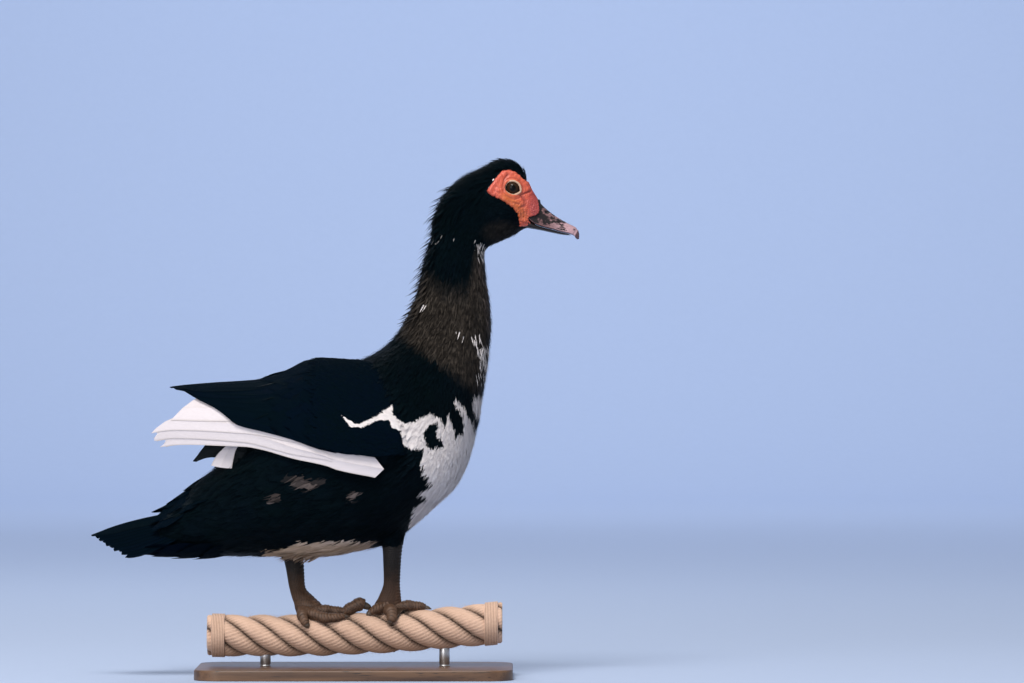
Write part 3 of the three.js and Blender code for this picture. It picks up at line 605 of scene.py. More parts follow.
# %% Spine curve
SPINE = [
    (172, 446), (158, 462), (138, 460), (116, 450), (100, 432), (94, 402), (90, 365), (84, 335), (74, 300),
    (62, 262), (44, 228), (16, 205), (-20, 190), (-60, 178), (-100, 164), (-140, 150), (-190, 140),
    (-250, 134)
]


def spine_samples(count=160):
    knots = np.array([(x, 0, z) for x, z in SPINE], float)
    reach = np.concatenate([[0], np.cumsum(np.linalg.norm(np.diff(knots, axis=0), axis=1))])
    even = np.linspace(0, reach[-1], count)
    points = np.stack([np.interp(even, reach, knots[:, k]) for k in range(3)], -1)
    for _ in range(12):
        points[1:-1] = (points[:-2] + 2 * points[1:-1] + points[2:]) / 4
    return points, unit(np.gradient(points, axis=0))


spine_points, spine_ways = spine_samples()


def body_address(points, spread=14.0):
    """How far along the spine places on the skin lie, at what angle round it, and the way of feathers."""
    flat = points.reshape(-1, 3)
    away = np.linalg.norm(flat[:, None] - spine_points[None], axis=-1)
    nearness = np.exp(-(away ** 2 - away.min(1, keepdims=True) ** 2) / (2 * spread ** 2))
    nearness /= nearness.sum(1, keepdims=True)
    along = nearness @ np.linspace(0, 1, len(spine_points))
    way = unit(nearness @ spine_ways)
    off = flat - nearness @ spine_points
    up = np.cross((0, 1, 0), way)
    angle = np.arctan2(off[:, 1], (off * up).sum(-1))
    shape = points.shape[:-1]
    return along.reshape(shape), angle.reshape(shape), way.reshape(points.shape)


print("spine is", round(float(np.linalg.norm(np.diff(spine_points, axis=0), axis=1).sum())), "mm long")

# %% [markdown]
# ## Markings
#
# The bird is pied: black with a white breast and belly, a white mark with a hooked tail on the shoulder,
# a brown and flecked neck, and pale blotches on the flank. The marks belong to places on the bird, so
# they're worked out once from those places, with noise that frays their edges along the feathers. Skin
# and feathers both ask the same function. Brown and blotches are one value for each feather, but white is
# asked for at every point of a vane, so the edges of the white marks stay sharp.

# %% Outlines of the white marks, seen from the side as (x, z)
BREAST = [
    (20, 108), (34, 124), (47.1, 132.4), (51.5, 140), (52.6, 148.8), (56.9, 161.9), (68.9, 169.5),
    (59.7, 173.9), (66.7, 178.1), (72.3, 182.3), (66.7, 187.8), (73.7, 189), (64.3, 192), (63.2, 203.9),
    (66.7, 215.7), (56.3, 216.4), (52, 217.8), (48.6, 221.3), (46.1, 226.9), (44.8, 231.7), (45.8, 235.5),
    (48.6, 240.5), (54.2, 241.5), (61.1, 245), (72.6, 250.6), (76.5, 247.8), (81, 246.4), (82.7, 241.5),
    (86.9, 237.3), (89, 249.2), (92.5, 240.8), (96, 226), (99, 230), (103, 229.6), (103.6, 238),
    (101.9, 245.7), (99.5, 253.4), (95.3, 257.2), (94.6, 263.1), (98.8, 260.3), (102.9, 254.7),
    (109.9, 242.2), (114.8, 228.3), (116.2, 225.1), (140, 225), (140, 100)
]
FORE_BREAST = [(111, 263.8), (110.6, 256.8), (113.4, 249.2), (116.2, 245), (120, 243.6), (140, 240),
               (140, 263.8)]
SHOULDER_HOOK = [
    (-10.7, 250.2), (-6, 246.4), (-0.3, 241.5), (5.7, 241), (15, 245), (26.4, 251.1), (36.7, 259.3),
    (36, 254), (38.1, 249.2), (42.3, 245), (50, 240.5), (47, 234.5), (42.5, 235.3), (37.5, 237.3),
    (33, 244.5), (24, 245), (8.9, 238.2), (-1, 238.4), (-7, 244)
]
SHOULDER_SPOT = [
    (77.9, 242.2), (72.3, 240.1), (67.4, 235.2), (65.7, 231), (66.7, 224.8), (69.5, 219.2), (72.3, 216.6),
    (77.9, 216.4), (85.5, 219.2), (83.1, 225), (79, 229), (77.2, 233.5), (80.6, 238)
]
FLECKS = [
    (95, 325, 3.5, 0.5), (101, 321, 3.5, 0.4), (115, 318, 4.5, 0.8), (120.5, 306, 5.5, 0.9),
    (122, 294, 5, 0.9), (114, 411.5, 2.5, 0.6), (118.5, 406, 4.5, 0.8), (121, 402, 3.5, 0.7),
    (119.5, 396, 3, 0.4), (66.2, 349, 3, 0.4), (84, 421, 2.5, 0.35), (78, 414.5, 3, 0.3),
    (93.7, 414, 1.5, 0.3), (119, 283, 5, 0.5), (129.5, 469, 3, 0.3), (133.5, 472, 2.5, 0.2),
    (127, 466, 2.5, 0.25)
]
FLANK_BLOTCHES = [(-43, 184, 11, 5.5), (-74, 172.5, 6, 5), (-0.7, 172.5, 3, 6), (-52, 188, 10, 3)]

print(len(FLECKS), "flecks and", len(FLANK_BLOTCHES), "blotches")

# %% Marks at a place
def inside(x, z, outline):
    """True for the places that lie inside an outline."""
    within = np.zeros(x.shape, bool)
    for (ax, az), (bx, bz) in zip(outline, outline[1:] + outline[:1]):
        crosses = (az > z) != (bz > z)
        within ^= crosses & (x < (bx - ax) * (z - az) / (bz - az + 1e-9) + ax)
    return within


def rough(points, size, seed=0.0):
    """Smooth noise from -1 to 1 at each point, with features about size millimetres across."""
    shift = Vector((seed, seed * 0.7, -seed))
    heights = [noise.noise(Vector(point) / size + shift) for point in points.reshape(-1, 3).tolist()]
    return np.array(heights).reshape(points.shape[:-1])


def markings(points, draw):
    """White, brown and blotch for each place, from 0 to 1. draw is a random number for each place."""
    flat = points.reshape(-1, 3)
    ahead, y, high = flat.T
    fray = 1.1 * rough(flat, 5.0) + 0.7 * rough(flat, 2.2, 4.0)
    left = ease(y, -10, 10)
    x = ahead + fray + 5 * left * rough(flat, 26, 9.0)
    z = high + 0.8 * fray + 6 * left * rough(flat, 30, 12.0)
    white = inside(x, z, BREAST) | inside(x, z, FORE_BREAST)
    white |= inside(x, z, SHOULDER_HOOK) & (np.abs(y) > 40)
    white &= ~(inside(x, z, SHOULDER_SPOT) & (np.abs(y) > 18))
    belly = 129.5 - 9 * ease(-ahead, 45, 82) + 2.5 * rough(flat, 9.0, 3.0)
    white |= (high + fray < belly) & (ahead > -86 + fray) & (ahead < 60)
    near_thigh = (ahead > 16) & (ahead < 52) & (y < 4) & (high < 137)
    white &= ~near_thigh
    for fx, fz, size, share in FLECKS:
        near = (ahead - fx) ** 2 + (high - fz) ** 2 < size ** 2
        white |= near & (draw < share)
    border = mix(320, 269, (ahead - 39) / 70)
    top = 376 + 12 * ease(-ahead, -88, -72) + 36 * ease(ahead, 105, 115)
    brown = np.clip((high - border + 2 * fray) / 12, 0, 1) * np.clip((top - high) / 26, 0, 1)
    throat = 1 - ((ahead - 139) / 22) ** 2 - ((high - 422) / 13) ** 2
    brown = np.maximum(brown, 0.5 * np.clip(1.2 * throat, 0, 1))
    front = ease(ahead - NECK["front"](high), -13, -5) * (high > 325) * (high < 396)
    blotch = front * (draw < 0.34) * 0.6
    ragged = 0.35 * rough(flat, 4.0, 8.0)
    for bx, bz, wide, tall in FLANK_BLOTCHES:
        bump = 1.3 - ((ahead - bx) / wide) ** 2 - ((high - bz) / tall) ** 2 + ragged
        blotch = np.maximum(blotch, np.clip(bump, 0, 1) * (0.35 + 0.6 * draw))
    return white.astype(float), brown, blotch


print(len(BREAST), "corners round the white breast")

# %% [markdown]
# ## Feathers as meshes
#
# Each feather is a small curved vane of a few quads, wide over most of its length and round at its tip.
# It starts just under the skin, follows the skin's curve and lifts slowly, so its tip lies on the
# feathers behind it, as roof tiles do. A hair system would be lighter to write, but it wouldn't leave the
# program as a mesh, so numpy makes all feathers of a tract at once. A second kind, a thin tapered strand,
# gives the loose, hairy edge.


# %% Roots spread over the skin
def skin_triangles():
    skin.data.calc_loop_triangles()
    corners = np.empty(len(skin.data.loop_triangles) * 3, np.int32)
    skin.data.loop_triangles.foreach_get("vertices", corners)
    return skin_points[corners.reshape(-1, 3)]


triangles = skin_triangles()
edges = triangles[:, 1:] - triangles[:, :1]
triangle_areas = np.linalg.norm(np.cross(edges[:, 0], edges[:, 1]), axis=1) / 2


def spread_roots(wanted, spacing, density=0.9):
    """Even but irregular places on the wanted part of the skin, about spacing apart."""
    middles = triangles.mean(1)
    chosen = wanted(middles)
    areas = np.where(chosen, triangle_areas, 0)
    count = int(areas.sum() / spacing ** 2 * density * 3)
    picks = rng.choice(len(areas), count, p=areas / areas.sum())
    u, v = rng.random(count), rng.random(count)
    flip = u + v > 1
    u, v = np.where(flip, 1 - u, u)[:, None], np.where(flip, 1 - v, v)[:, None]
    a, b, c = triangles[picks].transpose(1, 0, 2)
    points = a + u * (b - a) + v * (c - a)
    tree = KDTree(count)
    for i, point in enumerate(points.tolist()):
        tree.insert(point, i)
    tree.balance()
    blocked = np.zeros(count, bool)
    kept = []
    for i, point in enumerate(points.tolist()):
        if not blocked[i]:
            kept.append(i)
            for _, j, _ in tree.find_range(point, spacing * 0.82):
                blocked[j] = True
    return points[kept]


# %% Paths that follow the skin
def comb(roots, lengths, rows, sway):
    """For each root, points, outward and sideways directions at even steps along the lie of the coat."""
    place, out = settle(roots)
    turn = rng.normal(0, sway, len(roots))[:, None]
    path, outs, sides = [], [], []
    for row in range(rows):
        way = body_address(place)[2]
        way = unit(way - (way * out).sum(-1, keepdims=True) * out)
        side = np.cross(out, way)
        way = unit(way + side * turn)
        side = np.cross(out, way)
        path.append(place)
        outs.append(out)
        sides.append(side)
        if row + 1 < rows:
            place, out = settle(place + way * (lengths / (rows - 1))[:, None])
    return np.stack(path, 1), np.stack(outs, 1), np.stack(sides, 1)


# %% Vanes from paths
VANE_SHAPE = through((0, 0.4), (0.25, 0.85), (0.6, 1), (0.85, 0.86), (1, 0.42))
STRAND_SHAPE = through((0, 0.7), (0.4, 1), (1, 0.06))
SPIKE_SHAPE = through((0, 1), (0.35, 0.9), (0.7, 0.5), (1, 0.05))


def vanes(path, out, side, width, lift, columns, shape, dome, blunt):
    """Grids of points for many feathers at once: (feather, row, column, xyz). lift is (feather, row)."""
    rows = path.shape[1]
    t = np.linspace(0, 1, rows)
    across = np.linspace(-1, 1, columns)
    reach = t[:, None] * (1 - blunt * across[None, :] ** 2)
    index = np.minimum((reach * (rows - 1)).astype(int), rows - 2)
    part = (reach * (rows - 1) - index)[None, ..., None]

    def slide(values):
        return values[:, index] * (1 - part) + values[:, index + 1] * part

    half = (width[:, None] / 2 * shape(t)[None, :])[..., None] * across
    height = slide(lift[..., None])[..., 0] - np.abs(half) * dome * np.abs(across)
    return slide(path) + slide(side) * half[..., None] + slide(out) * height[..., None]


# %% A coat piece
PATCH = 0.003


def write_marks(mesh, marks):
    """Keeps what the finish reads: for each mark, one value for each point of the mesh."""
    for mark, values in marks.items():
        kept = mesh.attributes.new(mark, "FLOAT", "POINT")
        kept.data.foreach_set("value", values.astype(np.float32))


def coat_piece(name, grids, address, finish, slot, replaces=(), **marks):
    """One mesh from lists of feather grids.

    address gives each feather's place on the map. Each mark has a value for each feather or each point.
    """
    mesh = bpy.data.meshes.new(name)
    points, quads, maps, vane_maps, count = [], [], [], [], 0
    tags = {mark: [] for mark in marks}
    for which, grid in enumerate(grids):
        feathers, rows, columns = grid.shape[:3]
        points.append(grid.reshape(-1, 3))
        quads.append(grid_quads(feathers, rows, columns) + count)
        count += feathers * rows * columns
        t, across = np.meshgrid(np.linspace(0, 1, rows), np.linspace(-0.5, 0.5, columns), indexing="ij")
        local = stacked(across, t - 0.5)
        maps.append((address[which][:, None, None, :] + PATCH * local).reshape(-1, 2))
        vane_maps.append(np.broadcast_to(local + 0.5, (feathers, rows, columns, 2)).reshape(-1, 2))
        for mark, values in marks.items():
            whole = len(values[which]) == feathers
            tags[mark].append(np.repeat(values[which], rows * columns) if whole else values[which])
    points, quads = np.concatenate(points), np.concatenate(quads)
    mesh.vertices.add(len(points))
    mesh.vertices.foreach_set("co", (points * MM).ravel())
    mesh.loops.add(quads.size)
    mesh.loops.foreach_set("vertex_index", quads.ravel().astype(np.int32))
    mesh.polygons.add(len(quads))
    mesh.polygons.foreach_set("loop_start", np.arange(0, quads.size, 4, dtype=np.int32))
    mesh.update(calc_edges=True)
    for layer, coordinates in (("vane", vane_maps), ("OFBake", maps)):
        made = mesh.uv_layers.new(name=layer)
        made.data.foreach_set("uv", np.concatenate(coordinates)[quads.ravel()].ravel())
    write_marks(mesh, {mark: np.concatenate(values) for mark, values in tags.items()})
    mesh.materials.append(finish)
    mesh.shade_smooth()
    piece = bpy.data.objects.new(name, mesh)
    bpy.context.scene.collection.objects.link(piece)
    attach(piece, "root")
    if replaces:
        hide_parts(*replaces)
    print(name, "has", 2 * len(quads), "triangles")


# %% [markdown]
# ## Plumage finish
#
# Black plumage isn't flat black: its barbs gloss, and the gloss leans to green or blue. The colour starts
# from the root marks, varies a little from feather to feather and cloud by cloud over the body, and fine
# ribs across each vane break the light. Sheen and coat stay constants, so that they travel with the
# model.


# %% Plumage
def plumage(name, gloss, shine, green, blue, barbs):
    """Black, brown, blotched and white feathers. Black varies between green and blue."""
    tint = (0.35, 0.6, 1.0, 1.0)
    material, shader, place = new_finish(name, Specular_IOR_Level=shine, Specular_Tint=tint)
    cloud = place.noise(28, 3)
    tone = place.mark("tone")
    black = (cloud * 0.7 + tone * 0.3).blend(green, blue)
    speckle = (place.noise(240, 2) * 0.6 + tone * 0.4).ramp(0.2, 0.9)
    brown = speckle.blend((0.014, 0.0115, 0.0095), (0.066, 0.054, 0.044))
    white_above = (place.noise(90, 3) * 0.5 + tone * 0.5).blend((0.70, 0.64, 0.625), (0.93, 0.855, 0.83))
    white_below = tone.blend((0.46, 0.33, 0.22), (0.66, 0.49, 0.36))
    # White feathers turn darker and browner towards the bottom of the belly, below about 148 mm.
    pale = place.axis("Z").ramp(0.121, 0.148).blend(white_below, white_above)
    blotch = tone.blend((0.05, 0.038, 0.034), (0.24, 0.19, 0.175))
    colour = place.mark("brown").blend(black, brown)
    colour = place.mark("blotch").blend(colour, blotch)
    colour = place.mark("white").ramp(0.3, 0.6).blend(colour, pale)
    vane = place.vane()
    slant = (vane.axis("X") - 0.5).maths("ABSOLUTE")
    ribs = ((vane.axis("Y") + slant) * barbs * TURN).maths("SINE")
    roughness = place.mark("white") * 0.4 + gloss + (tone - 0.5) * 0.1
    drive(shader, Base_Color=colour, Roughness=roughness, Normal=place.bump(ribs, 0.0004, 0.5))
    return material


black_plumage = plumage("plumage", gloss=0.42, shine=0.03, green=(0.0012, 0.0042, 0.0042),
                        blue=(0.0016, 0.0038, 0.0072), barbs=26)
print("plumage made")

# %% [markdown]
# ## Small feathers of the body
#
# A bird's small feathers grow in tracts, and each tract has its own cut: tiny on the cheeks, loose and
# pointed down the nape, long and soft on the breast, broad on the flanks and rump. Each tract is
# therefore one call with its spacing, length, width and lift. Denser rows of plain vanes cover the skin,
# and strands over them fray the edge.

# %% Where each tract grows
FACE_EDGE = [
    (190, 478), (164, 470), (159.5, 472), (154.5, 477.5), (147.9, 481), (140.3, 480.4), (136, 475.5),
    (125.6, 461.3), (129.4, 458), (138.1, 454), (144.6, 449.8), (152.3, 444.3), (156.4, 438.5),
    (157.6, 432.4), (157.4, 426.5), (158, 410), (190, 410)
]
FLIGHT_HEM = through(
    (-191, 224), (-182, 218), (-147, 220), (-114.5, 218), (-88, 215), (-62, 207), (-27, 201), (21, 189),
    (30, 196), (40, 208), (66, 214)
)


def on_wing_shell(points):
    x, y, z = points[:, 0], np.abs(points[:, 1]), points[:, 2]
    down = down_wing(x, z)
    face = wing_face(x, down)[:, 1]
    covered = (x < 60) & (x > -98) & (down > WING["ridge"](x) + 2) & (z > FLIGHT_HEM(x) + 4)
    return covered & (y - face < 0.8) & (y - face > -12)


def by_the_wing(points):
    """A strip of skin just before the wing's front edge, whose feathers lie over that edge."""
    x, y, z = points[:, 0], np.abs(points[:, 1]), points[:, 2]
    stands = y - wing_face(x, down_wing(x, z))[:, 1]
    return (x > 30) & (x < 64) & (z > 204) & (z < 300) & (stands > 0.3) & (stands < 6)


def growing(points):
    """Places with body feathers, so not the bare face, the bill's root or what the wings cover."""
    x, z = points[:, 0], points[:, 2]
    bare = inside(x, z, FACE_EDGE) & (x > 120)
    return ~bare & (x < 168) & (x > -176) & (z > 113) & ~on_wing_shell(points)


def by_the_shoulder(points):
    x, y, z = points.T
    return (x > 38) & (z > 206) & (z < 270) & (np.abs(y) > 24)


def off_the_shoulder(points):
    return ~by_the_shoulder(points)


def by_the_thigh(points):
    x, y, z = points.T
    return (x > -60) & (x < -30) & (z < 121) & (y < 36) & (y > -26)


def tract(low, high, sides=math.pi, extra=None):
    """A test for places between two stretches of the spine, within an angle from the ridge of the back."""
    def wanted(points):
        along, angle, _ = body_address(points)
        chosen = growing(points) & (along >= low) & (along < high) & (np.abs(angle) < sides)
        return chosen if extra is None else chosen & extra(points)
    return wanted


# %% Lay one layer of feathers
def layer(wanted, spacing, length, width, lift, rows=4, columns=3, shape=VANE_SHAPE, sink=0.5, sway=0.12,
          blunt=0.14, dome=0.12, uneven=0.12):
    """A layer of feathers over part of the skin: its grids, its roots, and a place near each tip."""
    roots = spread_roots(wanted, spacing)
    count = len(roots)
    lengths = length * varied(uneven, count).clip(0.6, 1.5)
    path, out, side = comb(roots, lengths, rows, sway)
    t = np.linspace(0, 1, rows)
    tips = lift * varied(0.3, count).clip(0.4, 1.9)
    lifts = -sink + (tips[:, None] + sink) * t[None, :] ** 0.8
    widths = width * varied(0.1, count).clip(0.7, 1.3)
    return vanes(path, out, side, widths, lifts, columns, shape, dome, blunt), roots, path[:, -2]


def strands(wanted, spacing, length, width, lift, **more):
    options = {"rows": 4, "columns": 2, "shape": STRAND_SHAPE, "blunt": 0.0, "dome": 0.0, "uneven": 0.2,
               "sway": 0.16}
    return layer(wanted, spacing, length, width, lift, **{**options, **more})


def body_coat(name, layers):
    """One piece of plumage from layers, with the body's address and the marks of each feather."""
    grids = [grid for grid, _, _ in layers]
    marks = {"white": [], "brown": [], "blotch": [], "tone": []}
    address = []
    for grid, roots, shown in layers:
        along, angle, _ = body_address(roots)
        address.append(stacked(0.5 + angle / TURN * 0.98, 0.01 + 0.98 * along))
        thin = grid.shape[2] == 2
        draw, tone = rng.random(len(roots)), rng.random(len(roots))
        white, brown, blotch = markings(shown, draw if thin else 1 + 0 * draw)
        if not thin:
            white = markings(grid, np.ones(grid[..., 0].size))[0]
        for mark, values in zip(marks, (white, brown, blotch, tone ** 2 if thin else tone * 0.7)):
            marks[mark].append(values)
    coat_piece(name, grids, address, black_plumage, "body_feathers", **marks)


# %% Head, crown and nape
body_coat("head_feathers", [
    layer(tract(0, 0.2), 2.1, 8.5, 3.6, 0.9),
    strands(tract(0, 0.2), 1.5, 8, 0.7, 1.5),
])
body_coat("crest_feathers", [
    layer(tract(0.02, 0.22, 1.3), 2.6, 13, 4.2, 1.8),
    layer(tract(0, 0.06, 1.3), 1.7, 10, 3.0, 3.2, sink=-0.6),
    strands(tract(0.02, 0.14, 1.2), 1.8, 17, 1.1, 3.4, sway=0.2),
    strands(tract(0.12, 0.34, 1.0), 2.4, 13, 2.0, 2.6, sway=0.22),
    layer(tract(0.11, 0.31, 0.75), 4.4, 12.5, 3.4, 7.6, sway=0.22, rows=6, shape=SPIKE_SHAPE, blunt=0.0,
          dome=0.3),
])

# %% Neck
body_coat("neck_feathers", [
    layer(tract(0.19, 0.42), 3.0, 13, 4.8, 1.3),
    strands(tract(0.19, 0.42), 2.0, 12, 1.1, 2.6),
])

# %% Breast and belly
body_coat("breast_feathers", [
    layer(tract(0.40, 0.60, extra=off_the_shoulder), 3.3, 16, 6.0, 1.2, rows=5),
    strands(tract(0.40, 0.60, extra=off_the_shoulder), 2.2, 13, 1.1, 2.2),
    layer(tract(0.40, 0.66, extra=by_the_shoulder), 2.0, 9, 3.4, 1.1),
    strands(tract(0.40, 0.66, extra=by_the_shoulder), 1.8, 8, 0.8, 1.7),
    layer(tract(0.30, 0.75, extra=by_the_wing), 2.0, 13, 4.0, 3.4, rows=6, uneven=0.2),
])

# %% Flanks, back and rump
body_coat("flank_feathers", [
    layer(tract(0.58, 1.0), 5.2, 27, 12.5, 1.8, rows=5, columns=5),
    strands(tract(0.58, 0.85), 4.0, 22, 1.6, 2.8),
    layer(tract(0.4, 0.9, extra=by_the_thigh), 3.2, 13, 4.6, 5.4, rows=5, sway=0.3),
])

# %% Skin finish and map
def address_map(mesh, address):
    """Writes the map named OFBake from a function of vertices, with the faces on its seam kept whole."""
    corners = np.empty(len(mesh.loops), np.int32)
    mesh.loops.foreach_get("vertex_index", corners)
    flat = address(mesh_points(mesh))[corners]
    sizes = np.empty(len(mesh.polygons), np.int32)
    mesh.polygons.foreach_get("loop_total", sizes)
    face_of = np.repeat(np.arange(len(sizes)), sizes)
    highest = np.zeros(len(sizes))
    np.maximum.at(highest, face_of, flat[:, 0])
    flat[:, 0] += (highest[face_of] - flat[:, 0] > 0.5)
    flat[:, 0] *= 0.98
    mesh.uv_layers.new(name="OFBake").data.foreach_set("uv", flat.ravel())


def body_map(points):
    along, angle, _ = body_address(points)
    return stacked(0.5 + angle / TURN, along)


def finish_skin():
    white, brown, blotch = markings(skin_points, rng.random(len(skin_points)))
    write_marks(skin.data, {"white": white, "brown": brown, "blotch": blotch, "tone": 0 * white + 0.3})
    address_map(skin.data, body_map)
    skin.data.materials.clear()
    skin.data.materials.append(black_plumage)
    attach(skin, "root")
    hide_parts("head", "neck_upper", "neck_lower", "torso", "rump", "thigh_right", "thigh_left")


finish_skin()
print("skin stands for the nodes of flesh")

# %% [markdown]
# ## Large feathers
#
# Wing and tail feathers are long, stiff and few, so each one is placed by name: where its root is, where
# its tip ends, how wide it is and which neighbour it lies over. They're drawn flat first, in the two
# directions of the wing or tail that they belong to, and then carried onto it. A shaft runs down the
# middle of each as a thin raised line.

# %% Feathers drawn in a face's own directions
SHAFTED = np.array([-1, -0.55, -0.06, 0, 0.06, 0.55, 1])
QUILL_SHAPE = through((0, 0.5), (0.2, 0.86), (0.6, 1), (0.88, 0.92), (1, 0.5))
COVERT = {"across": [-1, -0.6, 0, 0.6, 1], "shape": VANE_SHAPE, "shaft": 0}


def laid_vanes(place, roots, tips, width, sink, rise, roll=0.0, bow=0.0, rows=9, across=SHAFTED,
               shape=QUILL_SHAPE, blunt=0.1, shaft=0.3, thin=0.35, slant=0.0, butt=0.0):
    """Feather grids from place(first, second, lift), with a root, a tip and a value for each feather."""
    roots, tips = np.asarray(roots, float), np.asarray(tips, float)
    count = len(roots)
    width, sink, rise, roll, bow, slant = (np.broadcast_to(value, (count,))[:, None, None]
                                           for value in (width, sink, rise, roll, bow, slant))
    t = np.linspace(0, 1, rows)[None, :, None]
    across = np.asarray(across)[None, None, :]
    reach = t * (1 - blunt * np.abs(across) ** 2.2)
    reach = reach * (1 - np.abs(slant) * (1 - np.sign(slant) * across) / 2)
    reach = reach + butt * np.abs(across) * (1 - t) ** 6
    reach = reach * (1 + 0.012 * rng.normal(0, 1, (count, 1, across.shape[-1])) * (np.abs(across) > 0.1))
    run = tips - roots
    long = np.linalg.norm(run, axis=1)[:, None, None]
    dx, dy = run[:, 0, None, None], run[:, 1, None, None]
    off = across * width / 2 * shape(t) + bow * 4 * t * (1 - t)
    lift = mix(-sink, rise, np.minimum(t * 1.25, 1)) + across * roll - thin * np.abs(across)
    lift = lift + shaft * (np.abs(across) < 0.03) * (1 - 0.7 * t)
    first = roots[:, 0, None, None] + dx * reach - dy / long * off
    second = roots[:, 1, None, None] + dy * reach + dx / long * off
    return place(first, second, lift)


def clear_of_ridge(down, least=1.2, soft=7.0):
    """Keeps a feather by the ridge of the back on its own side."""
    return np.where(down < least + soft, least + soft * np.exp((down - least - soft) / soft), down)


def above_hem(x, down, soft=3.0):
    """Keeps a feather of the wing's black cover inside the cover's hem."""
    hem = down_wing(x, WING["hem"](x))
    return np.where(down > hem - soft, hem - soft * np.exp((hem - soft - down) / soft), down)


def wing_place(side):
    return lambda x, down, lift: on_wing(side, x, above_hem(x, clear_of_ridge(down)), lift)


print(len(SHAFTED), "points across each large feather")

# %% [markdown]
# ## Wing coverts and tertials
#
# Rows of coverts cover the front of the wing like scales and grow longer towards the rear. Behind them a
# few long tertials run out to the dark point over the rump. On the living bird they lie so close that
# only faint edges show, so each tip rises less than a millimetre above the feather that it covers.

# %% Rows of coverts
SMALL = {"from": 64, "to": -40, "thinning": 16, "step": 1.6, "gap": 1.7, "length": 7.5, "width": 2.8}
COVERTS = [
    {"from": 63, "to": 30, "step": 8.0, "length": 19, "parts": 13, "width": 12.5, "rise": 0.1},
    {"from": 28, "to": -6, "step": 11.0, "length": 29, "parts": 10, "width": 17, "rise": 0.15},
    {"from": -8, "to": -52, "step": 15.0, "length": 42, "parts": 8, "width": 23, "rise": 0.2}
]
TERTIAL_TIPS = [(-175.5, 274), (-171, 273), (-161, 270), (-150, 264.8), (-141, 260), (-131, 254.6),
                (-121, 249)]


def covert_rows(side):
    grids, roots = [], []
    for band in COVERTS:
        stations = np.arange(band["from"], band["to"] - 1, -band["step"])
        for row, x in enumerate(stations):
            parts = (np.arange(band["parts"] + 1) - 0.5 * (row % 2)) / band["parts"] + 0.01
            parts = np.clip(parts + rng.normal(0, 0.008, len(parts)), 0.0, 1.0)
            kept = 0.46 * band["width"]
            start = x + rng.normal(0, 1.2, len(parts))
            end = start - band["length"] * varied(0.05, len(parts))
            root = stacked(start, flow_line(start, parts) - kept * parts ** 2)
            tip = stacked(end, flow_line(end, parts) - kept * parts ** 2)
            lift = band["rise"] * varied(0.25, len(parts))
            grids.append(laid_vanes(wing_place(side), root, tip, band["width"], 1.8, lift, roll=-0.1,
                                    rows=6, blunt=0.2, thin=0.3, **COVERT))
            roots.append(root)
    return grids, roots


def shoulder_feathers(side):
    """Small, close feathers over the front of the wing. They carry the white mark of the shoulder."""
    spots = []
    for row, x in enumerate(np.arange(SMALL["from"], SMALL["to"], -SMALL["step"])):
        reach = float(flow_line(x, 1.0) - flow_line(x, 0.0)) - 3
        down = np.arange(0, reach, SMALL["gap"]) + SMALL["gap"] * 0.5 * (row % 2)
        kept = down[rng.random(len(down)) < ease(x, SMALL["to"], SMALL["to"] + SMALL["thinning"])]
        along = x + rng.normal(0, 0.7, len(kept))
        spots.append(stacked(along, flow_line(x, 0.0) + kept + rng.normal(0, 0.6, len(kept))))
    root = np.concatenate(spots)
    ridge, hem = (flow_line(root[:, 0], part) for part in (0.0, 1.0))
    part = (root[:, 1] - ridge) / (hem - ridge)
    end = root[:, 0] - SMALL["length"] * varied(0.12, len(root))
    tip = stacked(end, flow_line(end, part) + rng.normal(0, 0.8, len(root)))
    width = SMALL["width"] * varied(0.12, len(root))
    lift = 1.1 + 0.15 * rng.normal(0, 1, len(root))
    return laid_vanes(wing_place(side), root, tip, width, -0.6, lift, roll=-0.1, rows=5, across=[-1, 0, 1],
                      shape=VANE_SHAPE, blunt=0.2, shaft=0, thin=0.3), root


print(len(COVERTS), "bands of coverts")

# %% Tertials and scapulars
def scapulars_and_tertials(side):
    tips = np.array([(x, down_wing(x, z)) for x, z in TERTIAL_TIPS])
    count = len(tips)
    starts = np.linspace(-38, -12, count)
    roots = stacked(starts, flow_line(starts, np.linspace(0.13, 0.95, count)))
    rise = np.linspace(1.4, 0.3, count)
    tertials = laid_vanes(wing_place(side), roots, tips, 29, 1.6, rise, roll=-0.4, rows=14)
    starts = np.array([30, 12, -6, -24, 22, 2, -16])
    parts = np.array([0.05, 0.06, 0.07, 0.09, 0.17, 0.19, 0.22])
    ends = starts - 66
    roots_over = stacked(starts, flow_line(starts, parts))
    tips_over = stacked(ends, flow_line(ends, parts * 0.9))
    over = laid_vanes(wing_place(side), roots_over, tips_over, 22, 1.6, 0.3, roll=-0.1, rows=10)
    return [tertials, over], [roots, roots_over]


print(len(TERTIAL_TIPS), "tertials on each wing")

# %% Wing coats
def wing_coat(side_name):
    side = SIDES[side_name]
    rows, long = covert_rows(side), scapulars_and_tertials(side)
    grids, roots = (first + second for first, second in zip(rows, long))
    small, small_roots = shoulder_feathers(side)
    grids.append(small)
    roots.append(small_roots)
    marks = {mark: [np.zeros(len(root)) for root in roots] for mark in ("white", "brown", "blotch")}
    marks["tone"] = [rng.random(len(root)) for root in roots]
    marks["white"][-1] = markings(small, np.ones(small[..., 0].size))[0]
    address = [stacked((root[:, 0] + 200) / 290, 0.02 + root[:, 1] / 150) for root in roots]
    coat_piece("wing_coverts_" + side_name, grids, address, wing_plumage, "black_feathers",
               ["wing_" + side_name], **marks)


wing_plumage = plumage("wing_plumage", gloss=0.65, shine=0.008, green=(0.0012, 0.0045, 0.0055),
                       blue=(0.0012, 0.0038, 0.0105), barbs=70)
for side in SIDES:
    wing_coat(side)

